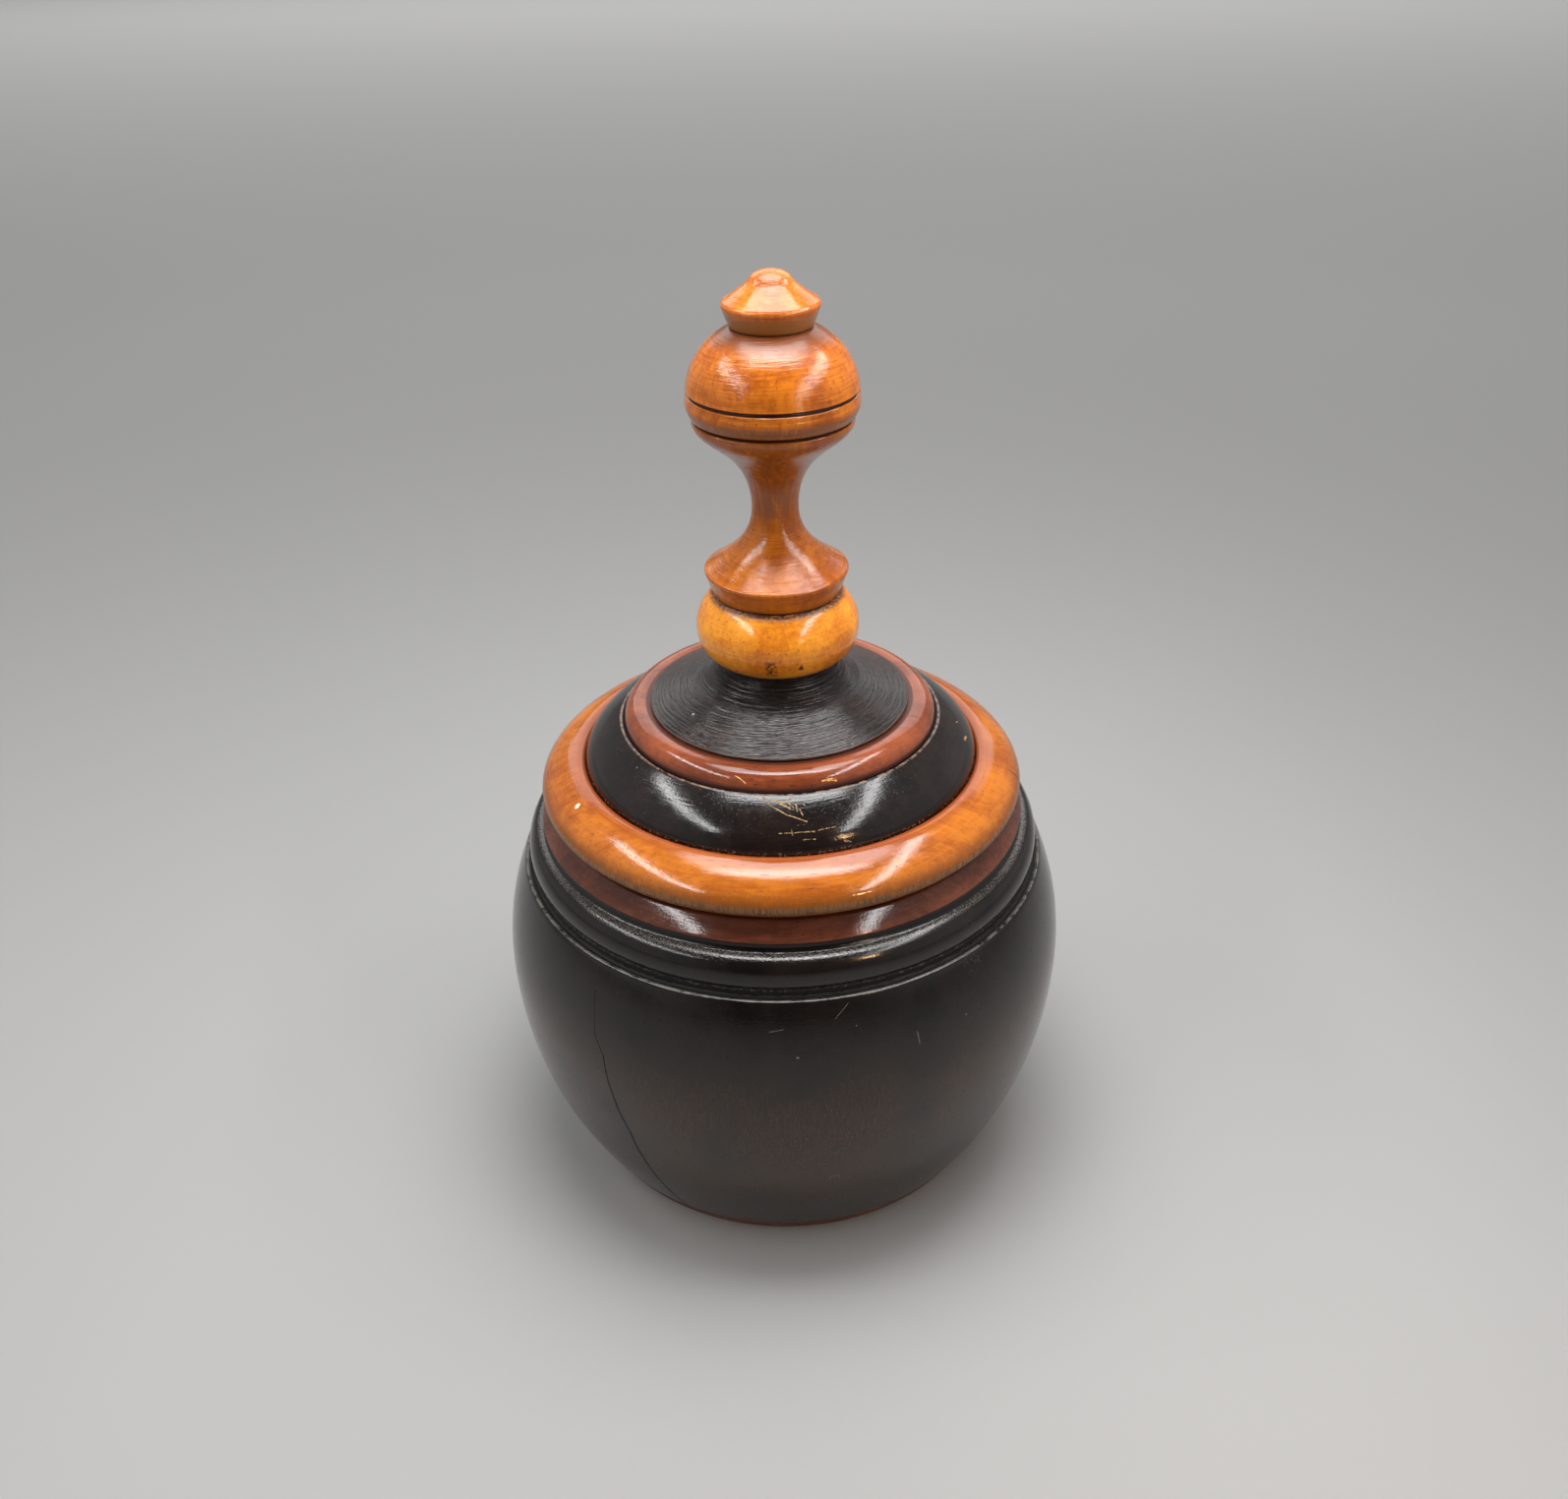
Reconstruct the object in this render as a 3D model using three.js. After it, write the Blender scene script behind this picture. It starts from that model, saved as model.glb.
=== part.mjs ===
// A turned wooden canister with a lift-off lid and a tall finial. Millimetres, +Z up.
// The axis of turning is Z and the foot stands on z = 0.

import * as THREE from 'three';

// Fit of one piece in another
const glueGap = 0.3;              // radial gap of a glued spigot or tenon, and the space left under its end
const lidClearance = 0.8;         // radial play of the lid's spigot in the mouth
const restGap = 0.3;              // space under the closed lid

// Facets around the axis and points along a curve
const bodyFacets = 44;
const finialFacets = 28;
const shortCurve = 5;
const longCurve = 8;

const point = (r, z) => new THREE.Vector2(r, z);

// Bowl
const bowlHeight = 90.6;          // from the foot disc to the seat of the shoulder ring
const bowlRadius = 80;
const baseInset = 15.4;           // how much narrower it is where it meets the foot disc
const lipInset = 6.9;             // how much narrower at the sharp lip under the V groove
const bellyShare = 0.64;          // widest point, as a share of the height
const bowlWall = 10;
const bowlFloor = 12;
const bowlFloorRound = 9;
const lipHeight = 1.2;            // height of the V groove's lower side
const grooveDepth = 2.4;          // V groove, inwards from the lip

// Foot disc
const footHeight = 4;
const footInset = 0.6;            // how far its top edge lies inside the bowl's base
const footTaper = 1.2;            // how much narrower it gets down to the table
const footStandWidth = 14.8;      // flat ring that it stands on
const footHollowDepth = 1.5;
const footEdgeRound = 0.8;
const footSpigotInset = 28;       // from its top edge to the spigot under the bowl
const footSpigotHeight = 3;

// Shoulder ring
const shoulderHeight = 11.2;
const beadInset = 1.7;            // from the lip to the bead's widest point
const beadHeight = 8.4;           // top of the bead, where the cove starts
const beadTopInset = 2.4;
const beadEdge = 1;               // from the V groove to the bead
const coveStep = 0.7;             // where the cove meets the bead
const coveWidth = 2.3;
const shoulderSeatWidth = 6;      // flat seat outside its spigot
const shoulderSpigotHeight = 3;
const shoulderSpigotChamfer = 2.5;

// Mouth ring
const mouthRingHeight = 5.2;
const mouthRingStep = 0.2;        // outside the top of the cove
const mouthRingTaper = 3;
const mouthRingTopWidth = 8.2;    // flat top, from its round face to the bore
const mouthRingEdge = 1;
const mouthEdgeChamfer = 0.6;
const mouthSpigotWall = 4.7;
const mouthSpigotHeight = 3;

// Lid rim
const rimOverhang = 2.8;          // past the top of the mouth ring
const rimHeight = 12.2;
const rimBeadWidth = 16;
const rimBeadPoints = 11;
const rimValleyWidth = 1.7;       // from the dome's edge to the lowest point beside the round rim
const rimValleyDrop = 0.7;        // that point below the top of the round rim
const rimSpigotHeight = 10;
const rimSpigotWall = 5.7;
const rimSpigotChamfer = 0.8;
const rebateDepth = 4;            // the dome sits in it

// Lid dome
const domeInset = 12.5;           // from the rim's widest point to the dome's edge
const domeRise = 11;              // from its sharp edge to its top lip
const domeWidth = 10.3;           // from its edge in to its top lip
const domeRingWidth = 7.5;        // flat ring under the dome, around its hollow
const domeThickness = 6.2;        // at its middle
const domeGrooveWidth = 1.1;      // between the dome's top lip and the accent ring
const domeGrooveDepth = 0.9;
const hollowFlat = 6;             // level part of the hollow's ceiling, beside the crown's tenon

// Accent ring
const accentHeight = 4.9;
const accentBeadRadius = 4.4;     // half the width of its round bead
const accentSideHeight = 0.6;     // bead's centre above the seat
const accentCrest = 0.5;          // the bead stands this much higher than the crown's seat
const accentBeadPoints = 7;
const accentBeadEnd = 100;        // degrees; the bead runs a little past its crest

// Lid crown
const crownInset = 6.9;           // from the accent ring's widest point to the crown's edge
const crownUndercut = 1;          // sloping underside of its sharp edge
const crownHeight = 13.8;
const crownTenonRadius = 18;
const neckRadius = 16.2;
const neckFootRadius = 17.5;
const neckHeight = 4.9;           // ridged part under the bulb
const neckFlare = 0.05;           // the ridges widen downwards by their number squared
const ridgeCount = 4;             // tool ridges on the neck
const ridgePitch = 1;
const ridgeDepth = 0.5;
const ridgeMargin = 0.4;          // from the highest ridge to the bulb

// Finial bulb
const bulbHeight = 18.1;
const bulbRadius = 21.4;
const bulbTopRadius = 16.4;
const bulbFootRadius = 15.4;
const bulbFootStep = 1.5;
const bulbFootRise = 0.3;
const bulbWaistShare = 0.48;      // widest point, as a share of the height

// Finial spindle: cup, stem and ball
const cupNeckRadius = 16.8;
const cupFootEdge = 0.6;
const cupRadius = 18.6;
const cupRimHeight = 6;
const cupEdge = 0.6;
const cupEdgeInset = 0.1;
const stemRadius = 5.95;
const stemHeight = 16.9;          // from the cup's rim to the thinnest point
const ballRadius = 21.15;
const ballRise = 29;              // from the thinnest point to the ball's middle
const ballHalfHeight = 18;
const ballTopHeight = 15.7;       // from the ball's middle to the seat of the cap
const bandHeight = 6.4;           // between the two grooves
const upperGrooveDepth = 0.9;
const lowerGrooveDepth = 1.4;
const grooveHalfWidth = 0.7;
const bandTaper = 1.1;            // how much smaller the ball is at the lower groove
const tenonRadius = 5;
const tenonDepth = 12;            // into the crown

// Finial cap
const capHeight = 12.9;
const capRadius = 12.1;
const capFootRadius = 10;
const capRimHeight = 4.6;
const capEdge = 0.5;
const capEdgeInset = 0.1;
const nubRadius = 5.8;
const nubHeight = 2.9;
const capTenonRadius = 3;
const capTenonLength = 8;

// How far each curve runs on as it starts and as it ends, as shares of its own width and height
const beadPulls = [point(-0.17, 0.35), point(0.75, 0.05)];
const covePulls = [point(0.56, -0.07), point(0.22, 0.82)];
const mouthRingPulls = [point(-0.13, 0.48), point(0.67, 0.1)];
const domePulls = [point(0.07, 0.41), point(0.53, 0.16)];
const hollowPulls = [point(0.63, 0), point(0, 0.75)];
const crownPulls = [point(0.45, 0.25), point(0.04, 0.27)];
const bulbLowPulls = [point(0.64, 0.2), point(0, 0.49)];
const bulbHighPulls = [point(0, 0.44), point(0.4, 0.17)];
const cupPulls = [point(0.47, 0.23), point(0, 0.52)];
const funnelPulls = [point(0, 0.69), point(0, 0.25)];
const capPulls = [point(0.52, 0.14), point(0.15, 0.33)];

// Levels, from the table upwards
const bowlBase = footHeight;
const bowlTop = bowlBase + bowlHeight;
const belly = bowlBase + bowlHeight * bellyShare;
const shoulderTop = bowlTop + shoulderHeight;
const mouthTop = shoulderTop + mouthRingHeight;
const lidBase = mouthTop + restGap;
const rimTop = lidBase + rimHeight;
const domeBase = rimTop - rebateDepth;
const domeTop = rimTop + domeRise;
const accentSeat = domeTop - domeGrooveDepth;
const domeCeiling = accentSeat - domeThickness;
const accentTop = accentSeat + accentHeight;
const crownTop = accentTop + crownHeight;
const bulbTop = crownTop + bulbHeight;
const cupRim = bulbTop + cupRimHeight;
const stemWaist = cupRim + stemHeight;
const ballCentre = stemWaist + ballRise;
const spindleTop = ballCentre + ballTopHeight;
const capTop = spindleTop + capHeight;

// Radii, from the bowl inwards
const bowlBaseRadius = bowlRadius - baseInset;
const footTopRadius = bowlBaseRadius - footInset;
const footRadius = footTopRadius - footTaper;
const footHollowRadius = footRadius - footStandWidth;
const footSpigotRadius = footTopRadius - footSpigotInset;
const footSpigotHole = footSpigotRadius + glueGap;
const lipRadius = bowlRadius - lipInset;
const grooveRadius = lipRadius - grooveDepth;
const shoulderSpigotRadius = grooveRadius - shoulderSeatWidth;
const beadRadius = lipRadius - beadInset;
const beadTopRadius = beadRadius - beadTopInset;
const coveRadius = beadTopRadius - coveStep - coveWidth;
const mouthRingRadius = coveRadius + mouthRingStep;
const mouthRingTopRadius = mouthRingRadius - mouthRingTaper;
const mouthRadius = mouthRingTopRadius - mouthRingTopWidth;
const mouthSpigotRadius = mouthRadius + mouthSpigotWall;
const lidSpigotRadius = mouthRadius - lidClearance;
const lidBoreRadius = lidSpigotRadius - rimSpigotWall;
const rimRadius = mouthRingTopRadius + rimOverhang;
const domeRadius = rimRadius - domeInset;
const rebateRadius = domeRadius + glueGap;
const hollowRadius = domeRadius - domeRingWidth;
const domeTopRadius = domeRadius - domeWidth;
const accentRadius = domeTopRadius - domeGrooveWidth;
const crownRadius = accentRadius - crownInset;
const crownTenonHole = crownTenonRadius + glueGap;
const tenonHole = tenonRadius + glueGap;
const capTenonHole = capTenonRadius + glueGap;

// Points of an arc or ellipse around (r, z), from one angle to another in degrees
function arc(r, z, width, height, from, to, steps) {
  const points = [];
  for (let i = 0; i <= steps; i += 1) {
    const angle = THREE.MathUtils.degToRad(from + (to - from) * i / steps);
    points.push(point(r + width * Math.cos(angle), z + height * Math.sin(angle)));
  }
  return points;
}

// Points of a curve between two points
function sweep(start, end, pulls, steps) {
  const span = end.clone().sub(start);
  const startHandle = pulls[0].clone().multiply(span).add(start);
  const endHandle = pulls[1].clone().multiply(span).negate().add(end);
  return new THREE.CubicBezierCurve(start, startHandle, endHandle, end).getPoints(steps);
}

// Radius of the circle that touches an upright line and reaches back by `drop` over `rise`
const bulgeRadius = (rise, drop) => (rise * rise + drop * drop) / (2 * drop);

// The bowl's side is one arc below the belly and one above it
const lowerArc = bulgeRadius(belly - bowlBase, baseInset);
const upperArc = bulgeRadius(bowlTop - lipHeight - belly, lipInset);

function sideRadius(z, wall) {
  const radius = z < belly ? lowerArc : upperArc;
  const reach = radius - wall;
  return bowlRadius - radius + Math.sqrt(reach * reach - (z - belly) * (z - belly));
}

function side(from, to, wall, steps) {
  const points = [];
  for (let i = 0; i <= steps; i += 1) {
    const z = from + (to - from) * i / steps;
    points.push(point(sideRadius(z, wall), z));
  }
  return points;
}

// Stained and lacquered woods
const blackWood = () => new THREE.MeshStandardMaterial({ color: 0x1c1614, roughness: 0.3, metalness: 0 });
const redWood = () => new THREE.MeshStandardMaterial({ color: 0x6e2c17, roughness: 0.3, metalness: 0 });
const honeyWood = () => new THREE.MeshStandardMaterial({ color: 0xb8611b, roughness: 0.28, metalness: 0 });

// One turned piece: its half section is spun round the axis
function turned(name, profile, facets, material) {
  const geometry = new THREE.LatheGeometry(profile, facets);
  geometry.rotateX(Math.PI / 2);
  const mesh = new THREE.Mesh(geometry, material);
  mesh.name = name;
  return mesh;
}

// A ring's half section closes on itself, so its first point comes again at the end
const closed = (points) => [...points, points[0].clone()];

function footDisc() {
  return turned('foot_disc', [
    point(0, footHollowDepth),
    point(footHollowRadius - footHollowDepth, footHollowDepth),
    point(footHollowRadius, 0),
    point(footRadius - footEdgeRound, 0),
    point(footRadius, footEdgeRound),
    point(footTopRadius, footHeight - footEdgeRound / 2),
    point(footTopRadius - footEdgeRound / 2, footHeight),
    point(footSpigotRadius, footHeight),
    point(footSpigotRadius, footHeight + footSpigotHeight),
    point(0, footHeight + footSpigotHeight),
  ], bodyFacets, redWood());
}

function bowl() {
  const floor = bowlBase + bowlFloor;
  const floorEdge = floor + bowlFloorRound;
  const floorRadius = sideRadius(floorEdge, bowlWall) - bowlFloorRound;
  const lip = bowlTop - lipHeight;
  const spigotHoleTop = bowlBase + footSpigotHeight + glueGap;
  const seatRadius = shoulderSpigotRadius + glueGap;
  const innerTop = bowlTop - shoulderSpigotHeight - glueGap;
  return turned('bowl', [
    point(0, spigotHoleTop),
    point(footSpigotHole, spigotHoleTop),
    point(footSpigotHole, bowlBase),
    ...side(bowlBase, lip, 0, longCurve + shortCurve),
    point(grooveRadius, bowlTop),
    point(seatRadius, bowlTop),
    point(seatRadius, innerTop),
    ...side(innerTop, floorEdge, bowlWall, longCurve),
    ...arc(floorRadius, floorEdge, bowlFloorRound, bowlFloorRound, 0, -90, shortCurve).slice(1),
    point(0, floor),
  ], bodyFacets, blackWood());
}

function shoulderRing() {
  const beadTop = bowlTop + beadHeight;
  const beadLow = bowlTop + lipHeight + beadEdge;
  const seat = shoulderTop - mouthSpigotHeight - glueGap;
  return turned('shoulder_ring', closed([
    point(shoulderSpigotRadius, bowlTop),
    point(grooveRadius, bowlTop),
    point(beadRadius - beadEdge / 2, beadLow - beadEdge),
    ...sweep(point(beadRadius, beadLow), point(beadTopRadius, beadTop), beadPulls, shortCurve),
    ...sweep(
      point(beadTopRadius - coveStep, beadTop),
      point(coveRadius, shoulderTop),
      covePulls,
      shortCurve,
    ),
    point(mouthSpigotRadius + glueGap, shoulderTop),
    point(mouthSpigotRadius + glueGap, seat),
    point(mouthRadius, seat),
    point(mouthRadius, bowlTop),
    point(mouthRadius + shoulderSpigotChamfer, bowlTop - shoulderSpigotHeight),
    point(shoulderSpigotRadius, bowlTop - shoulderSpigotHeight),
  ]), bodyFacets, blackWood());
}

function mouthRing() {
  const base = shoulderTop;
  return turned('mouth_ring', closed([
    point(mouthSpigotRadius, base),
    point(mouthRingRadius - mouthRingEdge / 2, base),
    ...sweep(
      point(mouthRingRadius, base + mouthRingEdge),
      point(mouthRingTopRadius, mouthTop),
      mouthRingPulls,
      shortCurve,
    ),
    point(mouthRadius + mouthEdgeChamfer, mouthTop),
    point(mouthRadius, mouthTop - mouthEdgeChamfer),
    point(mouthRadius, base - mouthSpigotHeight),
    point(mouthSpigotRadius, base - mouthSpigotHeight),
  ]), bodyFacets, redWood());
}

function lidRim() {
  const halfWidth = rimBeadWidth / 2;
  const halfHeight = rimHeight / 2;
  const spigotEnd = lidBase - rimSpigotHeight;
  return turned('lid_rim', closed([
    point(lidSpigotRadius - rimSpigotChamfer, spigotEnd),
    point(lidSpigotRadius, spigotEnd + rimSpigotChamfer),
    point(lidSpigotRadius, lidBase),
    ...arc(rimRadius - halfWidth, lidBase + halfHeight, halfWidth, halfHeight, -90, 90, rimBeadPoints),
    point(domeRadius + rimValleyWidth, rimTop - rimValleyDrop),
    point(rebateRadius, rimTop - rimValleyDrop / 2),
    point(rebateRadius, domeBase),
    point(lidBoreRadius, domeBase),
    point(lidBoreRadius, spigotEnd),
  ]), bodyFacets, honeyWood());
}

function lidDome() {
  return turned('lid_dome', closed([
    point(hollowRadius, domeBase),
    point(domeRadius, domeBase),
    ...sweep(point(domeRadius, rimTop), point(domeTopRadius, domeTop), domePulls, longCurve),
    point(accentRadius, accentSeat),
    point(crownTenonHole, accentSeat),
    point(crownTenonHole, domeCeiling),
    ...sweep(
      point(crownTenonHole + hollowFlat, domeCeiling),
      point(hollowRadius, domeBase),
      hollowPulls,
      shortCurve,
    ).slice(0, -1),
  ]), bodyFacets, blackWood());
}

function accentRing() {
  const centre = accentRadius - accentBeadRadius;
  const centreZ = accentSeat + accentSideHeight;
  const crest = accentTop + accentCrest - centreZ;
  return turned('accent_ring', closed([
    point(crownTenonHole, accentSeat),
    ...arc(centre, centreZ, accentBeadRadius, crest, 0, accentBeadEnd, accentBeadPoints),
    point(crownRadius - crownUndercut, accentTop),
    point(crownTenonHole, accentTop),
  ]), bodyFacets, redWood());
}

function lidCrown() {
  const ridges = [];
  for (let i = ridgeCount; i > 0; i -= 1) {
    const z = crownTop - ridgeMargin - i * ridgePitch;
    const radius = neckRadius + neckFlare * i * i;
    ridges.push(point(radius, z));
    ridges.push(point(radius - ridgeDepth, z + ridgePitch / 2));
  }
  return turned('lid_crown', [
    point(0, domeCeiling),
    point(crownTenonRadius, domeCeiling),
    point(crownTenonRadius, accentTop),
    point(crownRadius - crownUndercut, accentTop),
    ...sweep(
      point(crownRadius, accentTop + crownUndercut),
      point(neckFootRadius, crownTop - neckHeight),
      crownPulls,
      longCurve,
    ),
    ...ridges,
    point(neckRadius, crownTop),
    point(tenonHole, crownTop),
    point(tenonHole, crownTop - tenonDepth - glueGap),
    point(0, crownTop - tenonDepth - glueGap),
  ], bodyFacets, blackWood());
}

function finialBulb() {
  const foot = point(bulbFootRadius + bulbFootStep, crownTop + bulbFootRise);
  const widest = point(bulbRadius, crownTop + bulbHeight * bulbWaistShare);
  return turned('finial_bulb', closed([
    point(tenonHole, crownTop),
    point(bulbFootRadius, crownTop),
    ...sweep(foot, widest, bulbLowPulls, shortCurve),
    ...sweep(widest, point(bulbTopRadius, bulbTop), bulbHighPulls, shortCurve).slice(1),
    point(tenonHole, bulbTop),
  ]), finialFacets, honeyWood());
}

// A V groove in a round face: its lower edge, its bottom and its upper edge
function groove(z, depth, radiusAt) {
  return [
    point(radiusAt(z - grooveHalfWidth), z - grooveHalfWidth),
    point(radiusAt(z) - depth, z),
    point(radiusAt(z + grooveHalfWidth), z + grooveHalfWidth),
  ];
}

function finialSpindle() {
  const waist = point(stemRadius, stemWaist);
  const centre = ballCentre;
  const upperGroove = centre + grooveHalfWidth;
  const lowerGroove = upperGroove - bandHeight;
  const funnelHeight = lowerGroove - grooveHalfWidth;
  const upperRadius = (z) => ballRadius * Math.sqrt(1 - ((z - centre) / ballHalfHeight) ** 2);
  const bandRadius = (z) => {
    const drop = Math.max(0, centre - z) / bandHeight;
    return ballRadius - bandTaper * drop * drop;
  };
  const funnelTop = point(bandRadius(funnelHeight), funnelHeight);
  const crestAngle = THREE.MathUtils.radToDeg(Math.asin((spindleTop - centre) / ballHalfHeight));
  return turned('finial_spindle', [
    point(0, crownTop - tenonDepth),
    point(tenonRadius, crownTop - tenonDepth),
    point(tenonRadius, bulbTop),
    point(cupNeckRadius - cupFootEdge, bulbTop),
    point(cupNeckRadius, bulbTop + cupFootEdge),
    point(cupRadius, cupRim),
    ...sweep(point(cupRadius - cupEdgeInset, cupRim + cupEdge), waist, cupPulls, longCurve),
    ...sweep(waist, funnelTop, funnelPulls, longCurve).slice(1, -1),
    ...groove(lowerGroove, lowerGrooveDepth, bandRadius),
    point(bandRadius(centre - bandHeight / 2), centre - bandHeight / 2),
    ...groove(upperGroove, upperGrooveDepth, bandRadius),
    ...arc(0, centre, ballRadius, ballHalfHeight, 0, crestAngle, longCurve).slice(2, -1),
    point(upperRadius(spindleTop), spindleTop),
    point(capTenonHole, spindleTop),
    point(capTenonHole, spindleTop - capTenonLength - glueGap),
    point(0, spindleTop - capTenonLength - glueGap),
  ], finialFacets, honeyWood());
}

function finialCap() {
  const rim = spindleTop + capRimHeight;
  const nub = capTop - nubHeight;
  return turned('finial_cap', [
    point(0, spindleTop - capTenonLength),
    point(capTenonRadius, spindleTop - capTenonLength),
    point(capTenonRadius, spindleTop),
    point(capFootRadius, spindleTop),
    point(capRadius, rim),
    ...sweep(point(capRadius - capEdgeInset, rim + capEdge), point(nubRadius, nub), capPulls, shortCurve),
    ...arc(0, nub, nubRadius, nubHeight, 0, 90, shortCurve).slice(1),
  ], finialFacets, honeyWood());
}

const jar = new THREE.Group();
jar.add(footDisc(), bowl(), shoulderRing(), mouthRing());

const lid = new THREE.Group();
lid.add(lidRim(), lidDome(), accentRing(), lidCrown(), finialBulb(), finialSpindle(), finialCap());

const canister = new THREE.Group();
canister.add(jar, lid);

export default canister;
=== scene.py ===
import math

import bpy
from mathutils import Matrix, Vector


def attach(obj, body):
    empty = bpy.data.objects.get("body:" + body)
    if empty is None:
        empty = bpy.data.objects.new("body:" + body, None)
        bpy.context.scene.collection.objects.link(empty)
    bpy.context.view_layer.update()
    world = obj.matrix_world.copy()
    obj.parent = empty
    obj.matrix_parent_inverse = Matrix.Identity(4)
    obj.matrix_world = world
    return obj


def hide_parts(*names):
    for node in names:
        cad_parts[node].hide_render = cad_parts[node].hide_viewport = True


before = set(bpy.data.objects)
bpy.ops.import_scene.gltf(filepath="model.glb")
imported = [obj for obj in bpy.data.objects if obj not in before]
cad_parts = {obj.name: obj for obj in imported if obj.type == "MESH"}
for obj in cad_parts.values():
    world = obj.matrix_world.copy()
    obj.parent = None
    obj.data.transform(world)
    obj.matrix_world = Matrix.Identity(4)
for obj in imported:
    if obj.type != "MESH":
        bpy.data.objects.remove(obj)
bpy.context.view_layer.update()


# FOOT DISC. A thin disc of red-brown wood under the bowl, turned flat and slightly hollow underneath so
# that it stands on its outer ring. A short spigot on top is glued up into the bowl.

MM = 0.001
MERGE_WITHIN = 0.02 * MM
EASE_ABOVE = math.radians(38)
SMOOTH_BELOW = math.radians(32)

GLUE_GAP = 0.3
FOOT_TOP = 4
FOOT_RADIUS = 64
FOOT_HOLLOW = 1.5
STAND_INNER = 48
STAND_OUTER = 62
STAND_EDGE = 0.8
FOOT_SPIGOT = 36
FOOT_SPIGOT_END = 7


def arc(r, z, width, height, start, end, steps):
    """Points of an arc or ellipse round (r, z), from one angle to another in degrees."""
    points = []
    for i in range(steps + 1):
        angle = math.radians(start + (end - start) * i / steps)
        points.append((r + width * math.cos(angle), z + height * math.sin(angle)))
    return points


def sweep(start, start_pull, end_pull, end, steps):
    """Points of a smooth curve between two points, each pulled by a handle given from that point."""
    a = (start[0] + start_pull[0], start[1] + start_pull[1])
    b = (end[0] + end_pull[0], end[1] + end_pull[1])
    points = []
    for i in range(steps + 1):
        t = i / steps
        u = 1 - t
        points.append(tuple(
            u ** 3 * start[k] + 3 * u * u * t * a[k] + 3 * u * t * t * b[k] + t ** 3 * end[k] for k in (0, 1)
        ))
    return points


def turn(name, outline, rounds, edge):
    """Draws a half section point by point in mm, spins it round the axis and eases its sharp edges."""
    bpy.ops.object.select_all(action="DESELECT")
    bpy.ops.mesh.primitive_plane_add(size=MM, location=(outline[0][0] * MM, 0, outline[0][1] * MM))
    piece = bpy.context.object
    piece.name = name
    bpy.ops.object.mode_set(mode="EDIT")
    bpy.ops.mesh.merge(type="CENTER")
    for here, there in zip(outline, outline[1:]):
        step = ((there[0] - here[0]) * MM, 0, (there[1] - here[1]) * MM)
        bpy.ops.mesh.extrude_region_move(TRANSFORM_OT_translate={"value": step})
    bpy.ops.mesh.select_all(action="SELECT")
    bpy.ops.mesh.spin(steps=rounds, angle=math.tau, center=(0, 0, 0), axis=(0, 0, 1))
    bpy.ops.mesh.select_all(action="SELECT")
    bpy.ops.mesh.remove_doubles(threshold=MERGE_WITHIN)
    bpy.ops.mesh.normals_make_consistent(inside=False)
    bpy.ops.object.mode_set(mode="OBJECT")
    bpy.ops.object.transform_apply(location=True, rotation=True, scale=True)
    if edge:
        ease = piece.modifiers.new("eased edges", "BEVEL")
        ease.limit_method = "ANGLE"
        ease.angle_limit = EASE_ABOVE
        ease.width = edge * MM
        ease.segments = 2
        bpy.ops.object.modifier_apply(modifier=ease.name)
    bpy.ops.object.shade_smooth_by_angle(angle=SMOOTH_BELOW)
    return piece


def add(tree, kind, values=None, **settings):
    """Adds a node, sets it, joins or fills its inputs and gives back its outputs."""
    node = tree.nodes.new("ShaderNode" + kind)
    for name, value in settings.items():
        setattr(node, name, value)
    for name, value in (values or {}).items():
        if isinstance(value, bpy.types.NodeSocket):
            tree.links.new(value, node.inputs[name])
        else:
            node.inputs[name].default_value = value
    return node.outputs


def calc(tree, operation, first, second=0.0, clamp=False):
    """One step of arithmetic between two numbers of a finish."""
    return add(tree, "Math", {0: first, 1: second}, operation=operation, use_clamp=clamp)["Value"]


def blend(tree, mask, under, over):
    """Lays one colour over another where the mask is 1; a Mix node's colours are its inputs 6 and 7."""
    return add(tree, "Mix", {0: mask, 6: under, 7: over}, data_type="RGBA")[2]


def spread(tree, value, low, high, start=0.0, end=1.0):
    """Turns the part of a value between low and high into a smooth step from start to end."""
    values = {"Value": value, "From Min": low, "From Max": high, "To Min": start, "To Max": end}
    return add(tree, "MapRange", values, interpolation_type="SMOOTHSTEP")["Result"]


def new_group(name, takes, gives):
    """Starts a node group, with a starting value for each input and a kind for each output."""
    group = bpy.data.node_groups.new(name, "ShaderNodeTree")
    kinds = {0: "NodeSocketFloat", 3: "NodeSocketVector", 4: "NodeSocketColor"}
    for label, start in takes.items():
        kind = kinds[len(start) if isinstance(start, tuple) else 0]
        group.interface.new_socket(name=label, in_out="INPUT", socket_type=kind).default_value = start
    for label, kind in gives.items():
        group.interface.new_socket(name=label, in_out="OUTPUT", socket_type="NodeSocket" + kind)
    inside = group.nodes.new("NodeGroupInput").outputs
    return group, inside, group.nodes.new("NodeGroupOutput").inputs


def give(group, given, values):
    """Joins values to the named outputs of a group."""
    for label, value in values.items():
        group.links.new(value, given[label])


# where a point lies: in mm, by its distance from the axis, its height, and flat as seen from above or from
# the side, where the angle round the axis is unrolled at about the bowl's radius
UNROLLED_AT = 80
ROUND, _, given = new_group("Round the axis", {}, {
    "Place": "Vector", "Radius": "Float", "Height": "Float", "From above": "Vector",
    "From the side": "Vector"})
metres = add(ROUND, "TexCoord")["Object"]
place = add(ROUND, "VectorMath", {0: metres, 1: (1 / MM,) * 3}, operation="MULTIPLY")["Vector"]
apart = add(ROUND, "SeparateXYZ", {"Vector": place})
above = add(ROUND, "CombineXYZ", {"X": apart["X"], "Y": apart["Y"]})["Vector"]
turned_by = calc(ROUND, "ARCTAN2", apart["X"], calc(ROUND, "MULTIPLY", apart["Y"], -1))
unrolled = calc(ROUND, "MULTIPLY", turned_by, UNROLLED_AT)
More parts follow.
